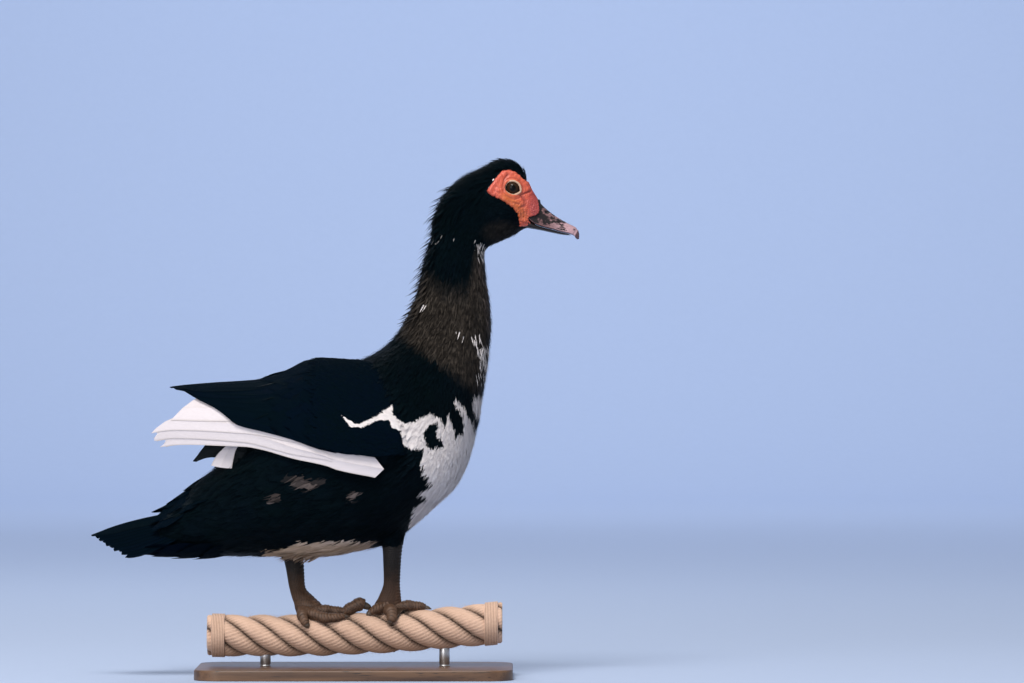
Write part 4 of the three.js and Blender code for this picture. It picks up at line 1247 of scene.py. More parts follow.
# %% [markdown]
# ## White flight feathers
#
# Under the black coverts the folded hand and arm feathers fan out to the rear, each a little deeper than
# the one above. They're white to the tip. The near wing also drops one white feather and one black,
# hooked one below the rest, and the far wing hangs a little lower.

# %% Flight feathers
FLIGHT = {
    "first": -1.5, "step": 0.65, "width": 19, "droop": {"right": 0, "left": 1},
    "band": through(
        (-200, 221), (-185, 225.5), (-170, 228), (-149, 228.8), (-104, 227.4), (-88.7, 224.7), (-58, 216),
        (-25, 208.6), (-16, 205.2), (22, 197.5), (30, 196)
    ),
    "upper": [((-178, 28.4), (-84, 28)), ((-196.5, 16.8), (-55, 11.5)), ((-197, 8.8), (-20, 1.8))],
    "widths": [27, 19, 19], "slants": [0.34, 0.23, 0.13],
}


def flight_fan(side_name):
    side = SIDES[side_name]
    droop = FLIGHT["droop"][side_name]

    def place(x, up, lift):
        z = FLIGHT["band"](x) + up - droop * ease(-x, 60, 190)
        return on_wing(side, x, down_wing(x, z), lift)

    tips, roots = (np.array(column, float) for column in zip(*FLIGHT["upper"]))
    depth = FLIGHT["first"] - FLIGHT["step"] * np.arange(len(tips) + 2)
    narrow = through((0, 0.3), (0.12, 0.55), (0.4, 0.95), (0.7, 1), (1, 0.88))
    broad = through((0, 1.02), (0.03, 1.0), (0.3, 0.97), (0.7, 1), (1, 0.8))
    fan = laid_vanes(place, roots, tips, FLIGHT["widths"], -depth[:3], depth[:3], rows=24, blunt=0.03,
                     shape=narrow, thin=0.2, slant=FLIGHT["slants"])
    lowest = laid_vanes(place, [(29.8, 2.8)], [(-187.6, 0.3)], FLIGHT["width"], -depth[3:4], depth[3:4],
                        rows=60, blunt=0.02, shape=broad, thin=0.2, slant=0.07, butt=0.04)
    first = laid_vanes(place, [(17, 5)], [(-60, 2)], 13, -depth[4:], depth[4:], rows=12, blunt=0.03,
                       thin=0.2, shape=through((0, 0.3), (0.06, 0.8), (1, 0.8)))
    return [fan, lowest, first], [roots, np.array([(20.0, 0.0)]), np.array([(27.0, 0.0)])]


def loose_feathers():
    """The white and the black feathers that hang below the near wing."""
    def place(x, z, lift):
        return stacked(x, -(34 + lift + 0.25 * (x + 110)), z)

    white = laid_vanes(place, [(-108.5, 226)], [(-128.2, 195.4)], 18.2, 0, 1, rows=12, blunt=0.02,
                       slant=-0.25, bow=-2.5, shape=through((0, 0.4), (0.35, 0.55), (0.7, 0.85), (1, 1)))
    roots, tips = [(-110, 207), (-95, 211), (-112, 208)], [(-153, 205), (-138, 209), (-133, 199)]
    hooked = through((0, 1), (0.6, 0.92), (0.85, 0.5), (1, 0.06))
    black = laid_vanes(place, roots, tips, [20, 14, 12], 1, 0, rows=20, bow=[-13, -5, 0], shape=hooked)
    return white, black


print(len(FLIGHT["upper"]) + 2, "feathers in each fan")

# %% Flight coats
def flight_coat(side_name):
    grids, roots = flight_fan(side_name)
    white = [np.ones(len(root)) for root in roots]
    if side_name == "right":
        for grid, shade in zip(loose_feathers(), (1, 0)):
            grids.append(grid)
            roots.append(np.tile((-100.0, 90.0), (len(grid), 1)))
            white.append(np.full(len(grid), float(shade)))
    address = [stacked((root[:, 0] + 200) / 290, 0.02 + 0.19 * which + 0.16 * np.linspace(0, 1, len(root)))
               for which, root in enumerate(roots)]
    tone = [rng.random(len(root)) for root in roots]
    coat_piece("flight_vanes_" + side_name, grids, address, flight_plumage, "white_feathers",
               ["flight_feathers_" + side_name], white=white, tone=tone)


def flight_finish():
    """Warm white vanes with fine slanted barbs, a horn-coloured shaft and painted shadow lines along both
    edges.
    """
    material, shader, place = new_finish("flight_plumage", Specular_IOR_Level=0.15)
    tone, white, vane = place.mark("tone"), place.mark("white"), place.vane()
    slant = (vane.axis("X") - 0.5).maths("ABSOLUTE")
    ribs = ((vane.axis("Y") * 90 + slant * 50) * TURN).maths("SINE")
    shaft = 1 - slant.ramp(0.012, 0.03)
    streak = place.scaled(4, 60, 60).noise(12, 3)
    cream = (streak * 0.6 + tone * 0.4).blend((0.57, 0.515, 0.52), (0.71, 0.645, 0.655))
    colour = (shaft * 0.6).blend(cream, (0.55, 0.46, 0.36))
    # Painted shadow: each vane turns grey-beige towards both edges, where the neighbouring feather shades
    # it.
    colour = (slant.ramp(0.43, 0.5) * 0.5).blend(colour, (0.42, 0.37, 0.33))
    colour = white.blend((0.0015, 0.0035, 0.005), colour)
    drive(shader, Base_Color=colour, Roughness=0.62 - ribs * 0.04, Normal=place.bump(ribs, 0.0002, 0.4))
    return material


flight_plumage = flight_finish()
for side in SIDES:
    flight_coat(side)

# %% [markdown]
# ## Tail
#
# The tail is a low roof of about twenty broad feathers. The middle one lies on top and each pair outwards
# lies lower, outside and a little shorter, which gives the stepped edge seen from the side. Coverts run
# over its root from above and below.

# %% Tail feathers
TAIL = {"pairs": 9, "root": -132, "tip": -249.8, "width": 24, "roof": math.radians(38), "spread": 4.9,
        "shorter": 3.7}
TAIL_RIDGE = through((-250, 134.6), (-233, 141.5), (-210, 148.6), (-182, 155), (-150, 161), (-130, 165))
COVER_RIDGE = through((-205, 151), (-190, 158), (-182, 162), (-164.5, 174.5), (-151.8, 184.5),
                      (-135, 196.5), (-120, 208))
UNDER_LINE = through((-222, 118), (-205, 114.5), (-190, 113), (-160, 111.8), (-130, 112.5), (-110, 112.5))


def roof_place(ridge):
    def place(x, across, lift):
        off = np.abs(across)
        slope = np.sin(TAIL["roof"]) * np.minimum(off / 6, 1)
        y = np.sign(across) * (off * np.cos(TAIL["roof"]) + lift * slope)
        return stacked(x, y, ridge(x) - off * slope + lift * np.cos(TAIL["roof"]))
    return place


def under_place(x, across, lift):
    return stacked(x, across, UNDER_LINE(x) + across ** 2 * 0.012 - lift)


def tail_fan():
    grids, roots = [], []
    for pair in range(TAIL["pairs"], -1, -1):
        for side in ((-1, 1) if pair else (1,)):
            def place(x, across, lift):
                kept = side * clear_of_ridge(side * across, 0.5, 4) if pair else across
                return roof_place(TAIL_RIDGE)(x, kept, lift)
            root = (TAIL["root"], side * pair * 1.3)
            tip = (TAIL["tip"] + TAIL["shorter"] * pair + rng.normal(0, 0.8), side * pair * TAIL["spread"])
            grids.append(laid_vanes(place, [root], [tip], TAIL["width"], 1.5 + 0.4 * pair, -0.75 * pair,
                                    rows=16, blunt=0.07, bow=side * pair * 0.25))
            roots.append(np.array([root]))
    return grids, roots


print(2 * TAIL["pairs"] + 1, "tail feathers")

# %% Tail coverts
def tail_coverts():
    grids, roots = [], []
    for x, length, rise, spread, count in [(-150, 46, 0.4, 12.5, 5), (-138, 42, 1.0, 14, 5),
                                           (-124, 40, 1.7, 15, 5)]:
        across = (np.arange(count) - (count - 1) / 2) * spread + rng.normal(0, 0.8, count)
        root = stacked(x + 4, across * 0.92)
        tip = stacked(x - length + 0.25 * np.abs(across) + rng.normal(0, 2, count), across * 1.08)
        grids.append(laid_vanes(roof_place(COVER_RIDGE), root, tip, 22, 3.0, rise - 0.02 * np.abs(across),
                                roll=0.1, blunt=0.22, **COVERT))
        roots.append(root)
    for x, length, rise in [(-166, 52, -1.6), (-150, 46, -0.8), (-132, 44, 0.0), (-114, 40, 0.6)]:
        across = np.linspace(-26, 26, 6) + rng.normal(0, 1.2, 6)
        root = stacked(x, across)
        tip = stacked(x - length + 0.3 * np.abs(across) + rng.normal(0, 2, 6), across * 0.8)
        grids.append(laid_vanes(under_place, root, tip, 19, 3.5, rise, blunt=0.22, **COVERT))
        roots.append(root)
    return grids, roots


def tail_coat():
    grids, roots = (first + second for first, second in zip(tail_fan(), tail_coverts()))
    address = [stacked((root[:, 0] + 260) / 300, 0.5 + root[:, 1] / 120) for root in roots]
    tone = [rng.random(len(root)) for root in roots]
    none = [0 * value for value in tone]
    coat_piece("tail_vanes", grids, address, wing_plumage, "black_feathers", ["tail"], white=none,
               brown=none, blotch=none, tone=tone)


tail_coat()

# %% [markdown]
# ## Bare face
#
# Round the eye and down to the bill the skin is bare, red and rubbery. It has a row of soft bulbs over
# the brow, creases that ring the eye, and a fold before it. On the real bird this skin is one sheet, so
# it's one fine grid round the front of the head, pushed out and in by a relief. Past its outline it dives
# under the feathers, so no edge shows. Sculpted detail could go further, but named bulbs and creases stay
# where the photo has them.


# %% Shapes for relief
def away_from_line(x, z, line):
    """The distance from each place to a line of points."""
    nearest = np.full(x.shape, 1e9)
    for (ax, az), (bx, bz) in zip(line, line[1:]):
        dx, dz = bx - ax, bz - az
        t = np.clip(((x - ax) * dx + (z - az) * dz) / (dx * dx + dz * dz), 0, 1)
        nearest = np.minimum(nearest, np.hypot(x - ax - t * dx, z - az - t * dz))
    return nearest


def cell_edges(points, size, seed=0.0):
    """0 on the borders between small random cells, rising towards their middles."""
    shift = Vector((seed, -seed, seed * 0.5))
    gaps = [noise.voronoi(Vector(point) / size + shift)[0] for point in points.reshape(-1, 3).tolist()]
    return np.array([gap[1] - gap[0] for gap in gaps]).reshape(points.shape[:-1])


print("distances and cells ready")

# %% Bulbs and creases
EYE = {"x": 149.8, "y": 14.4, "z": 463.9, "radius": 7.2}
BULBS = [
    (142.8, 478.2, 2.2, 1.3), (146.4, 478.9, 1.9, 1.0), (149.8, 477.6, 2.0, 1.3), (153, 475.7, 1.8, 1.1),
    (156.2, 474, 2.1, 1.4), (159.4, 471, 2.0, 1.1), (138.3, 475, 2.3, 1.3), (135, 471.6, 2.4, 1.3),
    (132.2, 467.8, 2.6, 1.4), (130.2, 464.2, 2.3, 1.2), (128.6, 461.2, 2.0, 1.0), (162, 467.4, 2.4, 1.3),
    (164.6, 463.6, 2.3, 1.2), (167, 459.6, 2.4, 0.9), (161.6, 433.4, 1.7, 1.5), (169, 450.5, 5.2, 1.0),
    (171, 443.5, 4.2, 0.9), (160.6, 448.5, 2.0, 0.8), (136.5, 461, 2.6, 0.7), (143.5, 454, 2.4, 0.5)
]
CREASES = [
    ([(145.4, 476.1), (142.1, 471.6), (141, 466), (141.6, 461)], 1.0, 1.0),
    ([(143.6, 456.6), (148, 453.7), (152.4, 453), (157.1, 454.7)], 0.9, 0.9),
    ([(146.5, 451.5), (151.5, 449.2), (156.2, 448.4)], 0.9, 0.6),
    ([(157.6, 457), (161, 458.4), (166.1, 460.4)], 1.0, 1.3),
    ([(158.2, 455.8), (161.6, 451.6), (161.2, 447.6), (159, 446)], 1.7, 1.0),
    ([(155.8, 444.6), (158, 440), (158.6, 435.4)], 0.8, 0.6),
    ([(160.2, 443.4), (161, 439.6), (160.6, 436.4)], 0.7, 0.6), ([(163, 442), (163.6, 437.2)], 0.7, 0.5),
    ([(158.4, 431.6), (162, 430.2), (165, 430.6)], 0.8, 0.7), ([(134.6, 465), (138.2, 463.6)], 0.8, 0.5),
    ([(133, 461.4), (137.6, 458.6)], 0.8, 0.5), ([(155.4, 470.8), (158.6, 467.6), (159.6, 463)], 0.9, 0.7)
]
FACE_RIM = FACE_EDGE[1:-1]
BILL_EDGE = through(
    (426.8, 168.4), (430, 167.2), (434, 164.8), (436, 165.2), (436.9, 168.5), (438.4, 172.4),
    (440.6, 174.8), (443.4, 175.4), (446.9, 174.7), (454, 173.3), (458, 172)
)

print(len(BULBS), "bulbs and", len(CREASES), "creases on each side of the face")

# %% Relief of the bare skin
def eye_opening(angle):
    """How far the lids open round the eye: a leaning oval with a corner in front and a faint one behind."""
    lean = angle + 0.28
    oval = 1 / np.sqrt((np.cos(lean) / 6.5) ** 2 + (np.sin(lean) / 5.7) ** 2)
    front = 0.8 * hump(np.angle(np.exp(1j * (angle + 0.42))), 0.3)
    return oval + front + 0.3 * hump(np.angle(-np.exp(1j * angle)), 0.3)


def face_relief(points):
    """How far the bare skin stands off the head, and a mask for painted shade: how deep its creases are,
    plus the gaps between its pebbles.
    """
    x, y, z = points[..., 0], points[..., 1], points[..., 2]
    ragged = 0.9 * rough(points, 2.4, 6.0) + 0.5 * rough(points, 1.1, 7.0)
    within = inside(x + ragged, z + 0.6 * ragged, FACE_EDGE)
    rim = away_from_line(x + ragged, z + 0.6 * ragged, FACE_RIM)
    on_side = ease(np.abs(y), 3, 8) * ease(z, 425, 431)
    height = np.where(within, 0.15 + 0.45 * ease(rim, 0, 2.5) * on_side, -3.6 * ease(rim, 0, 1.4))
    wobble = 0.35 * rough(points, 3.0, 2.0)
    side = np.where(y < 0, 1.0, -1.0)
    wx, wz = x + wobble + 0.25 * side, z + wobble * side
    for bx, bz, radius, rise in BULBS:
        height = height + np.where(within, rise * on_side * hump(np.hypot(wx - bx, wz - bz), radius), 0)
    crease = np.zeros(x.shape)
    for line, width, depth in CREASES:
        crease = np.maximum(crease, depth * hump(away_from_line(wx, wz, line), width))
    off = np.hypot(x - EYE["x"], z - EYE["z"])
    around = np.arctan2(z - EYE["z"], x - EYE["x"])
    rings = off - eye_opening(around)
    crease = np.maximum(crease, 0.7 * hump(rings - 3.4, 0.5))
    crease = np.maximum(crease, 0.5 * hump(rings - 5.3, 0.5) * ease(-np.sin(around), -0.2, 0.6))
    pebble = ease(cell_edges(points, 1.5), 0.0, 0.45)
    fine = ease(cell_edges(points, 0.75, 3.0), 0.0, 0.4)
    rubber = ease(off, 10, 15)
    height = height - crease + np.where(within, (0.10 + 0.36 * rubber) * pebble + 0.12 * fine - 0.2, 0)
    chin = (1 - ease(z, 425.5, 429)) * ease(x, 154, 158)
    return height - 9 * ease(-rings, -1.2, 1.8) - 2.4 * chin, crease + 0.35 * (1 - pebble) * rubber


def face_grid(rows=170, columns=330):
    angle = full_turn(columns)
    end = np.full(columns, 168.0)
    for _ in range(14):
        end = mix(end, BILL_EDGE(head_ring(end, angle, 0)[:, 2]), 0.35)
    t = np.linspace(0, 1, rows)[:, None]
    x = mix(122.0, end[None, :], t)
    flat = head_ring(x, angle, 0)
    along = np.gradient(flat, axis=0)
    across = np.roll(flat, -1, 1) - np.roll(flat, 1, 1)
    out = unit(np.cross(across, along))
    out = out * np.sign((out * (flat - [150, 0, 448])).sum(-1))[..., None]
    height, crease = face_relief(flat)
    height = height - 1.4 * ease(t, 0.985, 1.0)
    return flat + out * height[..., None], flat, crease


print("lids open", round(float(eye_opening(np.array([0, math.pi])).sum()), 1), "mm from corner to corner")

# %% [markdown]
# ## Hard and bare pieces
#
# Bill, face, eyes, legs and rope are all built the same way, as rings of points, so one helper turns any
# set of such grids into a piece. It writes the flat map by ring and angle and keeps the marks that the
# finish reads.


# %% A piece from rings
def ring_piece(name, grids, finish, slot, replaces=(), **marks):
    """One mesh from grids of rings (station, around, xyz), closed, each with its own strip of the map."""
    forms = [loft(grid) for grid in grids]
    points, faces = join_forms(forms)
    maps = []
    for which, (grid, (_, grid_faces)) in enumerate(zip(grids, forms)):
        stations, columns = grid.shape[:2]
        strip = (which / len(grids), (which + 0.96) / len(grids))
        for face in grid_faces:
            ring = [corner // columns for corner in face]
            turn = [corner % columns for corner in face]
            wraps = len(face) == 4 and max(turn) - min(turn) > 1
            turn = [columns if wraps and step == 0 else step for step in turn]
            maps += [(mix(*strip, step / columns), row / (stations - 1)) for step, row in zip(turn, ring)]
    made = plain_object(name, points, faces)
    made.data.uv_layers.new(name="OFBake").data.foreach_set("uv", np.array(maps).ravel())
    for mark, values in marks.items():
        full = [np.broadcast_to(value, grid.shape[:2]).ravel() for value, grid in zip(values, grids)]
        write_marks(made.data, {mark: np.concatenate(full)})
    made.data.materials.append(finish)
    made.data.shade_smooth()
    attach(made, "root")
    if replaces:
        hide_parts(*replaces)
    print(name, "has", sum(len(face) - 2 for face in faces), "triangles")


# %% Face piece and its finish
def face_finish():
    glow = {"Subsurface_Weight": 0.12, "Subsurface_Radius": (0.004, 0.0015, 0.001)}
    material, shader, place = new_finish("bare_skin", Specular_IOR_Level=0.45, Coat_Weight=0.15,
                                         Coat_Roughness=0.35, **glow)
    mottle = place.noise(420, 3)
    coral = mottle.blend((0.45, 0.047, 0.027), (0.70, 0.135, 0.075))
    orange = mottle.blend((0.42, 0.072, 0.016), (0.68, 0.165, 0.037))
    deep = mottle.blend((0.25, 0.025, 0.024), (0.40, 0.060, 0.050))
    colour = place.mark("orange").blend(coral, orange)
    colour = place.mark("deep").blend(colour, deep)
    # Painted shade: creases and the gaps between the skin's pebbles darken to a deep red-brown.
    colour = place.mark("crease").clamp().blend(colour, (0.20, 0.028, 0.018))
    colour = place.mark("lid").blend(colour, mottle.blend((0.38, 0.21, 0.13), (0.54, 0.36, 0.25)))
    pores = place.bump(place.noise(900, 2), 0.0002, 0.5)
    drive(shader, Base_Color=colour, Roughness=mottle * 0.15 + 0.4, Normal=pores)
    return material


def lid_grid(side, columns=110, around=14):
    """The rim of the lids, a rolled edge that follows the opening and rests on the eyeball."""
    angle = np.linspace(0, TURN, columns)[:, None]
    turn = full_turn(around)
    ridge = 1.0 + 0.12 * np.sin(9 * angle + side) * np.sin(4 * angle)
    reach = eye_opening(angle) + 0.9 + ridge * np.cos(turn)
    ball = np.sqrt(np.maximum(EYE["radius"] ** 2 - (eye_opening(angle) + 0.9) ** 2, 0.6))
    level = np.maximum(EYE["y"] + ball, 18.9) + 0.75 * ridge * np.sin(turn)
    return stacked(EYE["x"] + reach * np.cos(angle), side * level, EYE["z"] + reach * np.sin(angle))


ORANGE_LINE = [(143, 455), (152, 449), (157, 442), (158.5, 438)]
DEEP_LINE = [(158, 474), (163, 462), (160.5, 449), (163.5, 438)]


def face_marks(flat, crease):
    """Where the bare skin is orange, round the eye and below it, and where it is deep red, by the bill."""
    x, z = flat[..., 0], flat[..., 2]
    orange = hump(away_from_line(x, z, ORANGE_LINE), 5.5)
    orange = np.maximum(orange, hump(np.hypot(x - 150, z - 464), 11) * 0.6)
    deep = ease(away_from_line(x, z, DEEP_LINE), 0, 7) * (x > 159) * ease(x + 0.3 * (z - 445), 160, 166)
    # crease is the mask of painted shade for the creases and the gaps between pebbles.
    return {"orange": orange, "deep": np.clip(deep, 0, 1), "crease": crease * 0.55, "lid": 0 * x}


def face_piece():
    surface, flat, crease = face_grid()
    marks = face_marks(flat, crease)
    grids = [surface] + [lid_grid(side) for side in SIDES.values()]
    marks = {name: [value, np.zeros(1), np.zeros(1)] for name, value in marks.items()}
    marks["lid"] = [np.zeros(1), np.ones(1), np.ones(1)]
    ring_piece("bare_face", grids, face_finish(), "bare_face", ["face"], **marks)


face_piece()

# %% [markdown]
# ## Eyes
#
# The eye is nearly all dark: a wide pupil in a dark brown iris, wet and glassy. It's one turned form, a
# ball with the slight bulge of the cornea, and its colours are rings round its own axis.


# %% Eyes
def eye_finish():
    material, shader, place = new_finish("eye", Roughness=0.3, Coat_Weight=0.14, Coat_Roughness=0.03,
                                         Specular_IOR_Level=0.05)
    x, z = place.axis("X") - EYE["x"] * MM, place.axis("Z") - EYE["z"] * MM
    off = (x * x + z * z).maths("SQRT")
    spokes = place.noise(1500, 2)
    iris = spokes.blend((0.012, 0.006, 0.003), (0.034, 0.017, 0.008))
    rim = off.ramp(0.0052, 0.0062)
    colour = off.ramp(0.0027, 0.0032).blend((0.002, 0.002, 0.002), iris)
    drive(shader, Base_Color=rim.blend(colour, (0.012, 0.007, 0.004)))
    return material


def eye_grid(side, rows=40, columns=56):
    tilt = np.linspace(0.02, math.pi - 0.02, rows)[:, None]
    turn = full_turn(columns)
    radius = EYE["radius"] * (1 + 0.03 * hump(tilt, 0.5))
    off = radius * np.sin(tilt)
    return stacked(EYE["x"] + off * np.cos(turn), side * (EYE["y"] + radius * np.cos(tilt)),
                   EYE["z"] + off * np.sin(turn))


wet_eye = eye_finish()
for name, side in SIDES.items():
    ring_piece("eyeball_" + name, [eye_grid(side)], wet_eye, "eye", ["eye_" + name])

# %% [markdown]
# ## Bill
#
# The bill has a high base that falls to a flat, hooked tip with a hard nail. Its upper half carries the
# nostrils in raised rims and fine saw marks along its edge. The horn is black at the base, breaks up into
# patches and ends pinkish grey, so those patches are noise against the length of the bill.

# %% Lines of the bill
CULMEN = through(
    (160, 459), (165, 457), (172, 453.8), (176.5, 449.4), (182.4, 443.8), (192.7, 436.2), (203.5, 430),
    (209.7, 426.9), (211.8, 423.8), (212.7, 420.8)
)
MOUTH = through(
    (160, 437), (164, 435.6), (166, 433.4), (170.9, 430), (177.7, 427.4), (187.4, 425), (197.1, 422.3),
    (203, 420.9), (207.7, 419), (211.6, 415.8), (212.7, 416.1)
)
JAW_BOTTOM = through((160, 427), (165, 426), (171, 425), (177.7, 423.8), (187.4, 421.7), (197.1, 419.8),
                     (206, 419))
BILL_HALF = through(
    (160, 12.1), (165, 12), (175, 11.6), (185, 10.6), (195, 10.2), (203, 9.6), (208, 7.8), (211, 5.2),
    (212.3, 3.0), (212.7, 1.2)
)
NOSTRIL = {"x": 182.4, "z": 441.2, "slope": -0.42, "long": 3.0, "short": 1.7}
LIP = 1.2
BILL_TIP = 212.7

print("bill reaches", BILL_TIP, "mm ahead")

# %% Upper bill
def upper_bill_grid(rows=190, columns=144):
    angle = full_turn(columns) + math.pi / columns
    t = np.linspace(0, 1, rows)[:, None] ** 0.9
    up = np.cos(angle)
    start = np.full(up.shape, 168.0)
    for _ in range(14):
        low = MOUTH(start) + LIP
        level = low + np.where(up > 0, (CULMEN(start) - low) * np.abs(up) ** 1.15, LIP * up)
        start = mix(start, BILL_EDGE(level), 0.35)
    x = mix(start - 3.0, BILL_TIP, t)
    low, high = MOUTH(x) + LIP, CULMEN(x) - MOUTH(x) - LIP
    z = np.where(up > 0, low + high * np.abs(up) ** 1.15, low + LIP * up)
    y = BILL_HALF(x) * signed_power(np.sin(angle), 0.9)
    return stacked(x, y, z)


def bill_relief(points):
    """Small forms of the upper bill: rims of the nostrils, saw marks, the lip and the nail."""
    x, y, z = points[..., 0], points[..., 1], points[..., 2]
    on_side = ease(np.abs(y), 2.5, 5)
    nx, nz, slope = x - NOSTRIL["x"], z - NOSTRIL["z"], NOSTRIL["slope"]
    off = np.hypot((nx + nz * slope) / NOSTRIL["long"], (nz - nx * slope) / NOSTRIL["short"])
    pit = hump(off, 0.7) * on_side
    rim = hump(off - 1.45, 0.42) * on_side
    above = z - MOUTH(x)
    saw = (0.5 + 0.5 * np.sin(TURN * x / 1.45)) * hump(above - 2.0, 1.0)
    saw = saw * ease(x, 174, 180) * (1 - ease(x, 200, 204))
    lip = hump(above - 0.7, 0.65) * (1 - ease(x, 203, 207))
    to_nail = x + 0.03 * y * y - 0.25 * (z - 423)
    nail, groove = ease(to_nail, 210.6, 211.8), hump(to_nail - 210.4, 0.5)
    knob = hump(np.hypot(x - 175.4, z - 452.6), 2.2) * 2.8
    pits = 0.10 * rough(points, 1.6, 5.0)
    height = -1.7 * pit + 0.55 * rim - 0.3 * saw + 0.28 * lip + 0.35 * nail - 0.25 * groove + knob + pits
    low = np.clip(1 - above / 7, 0, 1)
    return height, {"pit": pit, "lip": lip + hump(off, 2.6) * on_side, "nail": nail, "saw": saw, "low": low}


def swollen(points, height, middle):
    """Moves a closed grid of rings out of its own surface by a height."""
    along = np.gradient(points, axis=0)
    across = np.roll(points, -1, 1) - np.roll(points, 1, 1)
    out = unit(np.cross(across, along))
    out = out * np.sign(((points - middle) * out).sum(-1).mean())
    return points + out * height[..., None]


print("upper bill in", len(upper_bill_grid()), "rings")

# %% Lower bill
def lower_bill_grid(rows=90, columns=72):
    angle = full_turn(columns) + math.pi / columns
    x = np.linspace(160, 205.5, rows)[:, None]
    top, bottom = MOUTH(x) - 0.35, JAW_BOTTOM(x)
    close = 1 - 0.75 * ease(x, 202, 205.8)
    z = (top + bottom) / 2 + (top - bottom) / 2 * signed_power(np.cos(angle), 0.7) * close
    half = (BILL_HALF(x) - 0.9) * close * mix(0.8, 1, ease(x, 162, 165.5))
    return stacked(x, half * signed_power(np.sin(angle), 0.7), z)


print("lower bill in", len(lower_bill_grid()), "rings")

# %% Horn of the bill
def bill_finish():
    material, shader, place = new_finish("bill_horn", Specular_IOR_Level=0.2, Coat_Weight=0.08,
                                         Coat_Roughness=0.2)
    patch = place.scaled(150, 240, 200).noise(1, 4, 0.65)
    fine = place.noise(700, 3)
    black = fine.blend((0.006, 0.005, 0.006), (0.020, 0.015, 0.016))
    pink = fine.blend((0.30, 0.17, 0.185), (0.54, 0.35, 0.38))
    dusky = fine.blend((0.07, 0.034, 0.034), (0.20, 0.105, 0.105))
    pink = place.axis("X").ramp(0.178, 0.205).blend(dusky, pink)
    nail = fine.blend((0.05, 0.024, 0.028), (0.16, 0.085, 0.095))
    bright = (place.axis("X") - 0.1935) * 36 + place.mark("low") * 0.8 + (patch - 0.5) * 5.0
    # Painted shade: the nostril pits and the grooves between the saw marks are darkened.
    bright = bright + place.mark("lip") * 1.2 - place.mark("saw") * 0.5 - place.mark("pit") * 4
    bright = bright.ramp(-0.1, 0.35)
    colour = place.mark("nail").ramp(0.6, 1.0).blend(bright.blend(black, pink), nail)
    uneven = place.bump(place.noise(500, 3), 0.0001, 0.4)
    drive(shader, Base_Color=colour, Roughness=bright * 0.1 + fine * 0.12 + 0.34, Normal=uneven)
    return material


def bill_pieces():
    finish = bill_finish()
    upper = upper_bill_grid()
    height, marks = bill_relief(upper)
    upper = swollen(upper, height, np.array([185, 0, 432]))
    lower = lower_bill_grid()
    ring_piece("bill_upper_horn", [upper], finish, "bill", ["bill_upper"],
               **{name: [value] for name, value in marks.items()})
    none = [np.zeros(1)]
    lip = hump(MOUTH(lower[..., 0]) - lower[..., 2] - LIP, 0.7) * 0.5 - 1.4
    ring_piece("bill_lower_horn", [lower], finish, "bill", ["bill_lower"], pit=none, lip=[lip], nail=none,
               saw=none, low=none)


bill_pieces()

# %% [markdown]
# ## Legs and feet
#
# Scaly skin covers the legs: broad plates over the front of the shank and the tops of the toes, and small
# six-sided scales elsewhere. The toes curl over the rope with thin webs between them. Each leg and toe is
# a tube whose rings follow a curve, and the scales are a relief worked out from the place round and along
# it.

# %% The rope's own lines, which the feet follow
ROPE = {"radius": 20, "groove": 5.2, "strands": 4, "pitch": 116, "from": -140, "to": 140, "whipping": 13}


def rope_level(x):
    return 38.94 + 0.000238 * (x + 90) ** 2


def round_rope(x, turn, radius):
    """A place round the rope's middle line: at x, turned from the top towards the bird's right."""
    return stacked(x, -radius * np.sin(turn), rope_level(x) + radius * np.cos(turn))


def on_rope(x, turn, lift):
    return round_rope(x, turn, ROPE["radius"] + lift)


def evenly(stations, rows):
    """Smooth values at even steps along stations, whose first three numbers are a place."""
    stations = np.array(stations, float)
    reach = np.concatenate([[0], np.cumsum(np.linalg.norm(np.diff(stations[:, :3], axis=0), axis=1))])
    even = np.linspace(0, reach[-1], rows)
    return np.stack([through(*zip(reach, column))(even) for column in stations.T], -1), even


def hex_scales(u, v, size):
    """1 in the middle of each six-sided scale, 0 where two meet."""
    row_gap = 0.866
    u, v = u / size, v / size / row_gap
    nearest = []
    for row in (0, 1):
        line = np.floor(v) + row
        shift = 0.5 * (line % 2)
        for step in (0, 1):
            middle = np.floor(u - shift) + step + shift
            nearest.append(np.hypot(u - middle, (v - line) * row_gap))
    nearest = np.sort(nearest, axis=0)
    return ease(nearest[1] - nearest[0], 0, 0.3)


def plates(v, size):
    """1 in the middle of each broad plate, 0 where it overlaps the next."""
    part = v / size % 1
    return ease(part, 0, 0.2) * (1 - 0.55 * ease(part, 0.5, 1))


# %% Shanks
SCALE = {"leg": 2.0, "leg_plate": 3.4, "toe": 1.5, "toe_plate": 2.9, "web": 1.6}


def leg_grid(stations, rows, columns=96):
    """Rings round an upright leg with scales: broad plates in front, small ones behind."""
    values, reach = evenly(stations, rows)
    x, y, z, deep, wide = (values[:, k, None] for k in range(5))
    angle = full_turn(columns)
    girth = angle * (deep + wide) / 2
    front = ease(np.cos(angle), 0.45, 0.72)
    wave = reach[:, None] + 1.2 * np.cos(3 * angle)
    small = 0.55 * hex_scales(girth, reach[:, None], SCALE["leg"])
    relief = mix(small, 0.8 * plates(wave, SCALE["leg_plate"]), front)
    tendon = 1 + 0.06 * hump(np.cos(angle) + 1, 0.35)
    return stacked(x + (deep * tendon + relief) * np.cos(angle), y + (wide * 0.94 + relief) * np.sin(angle),
                   z), relief


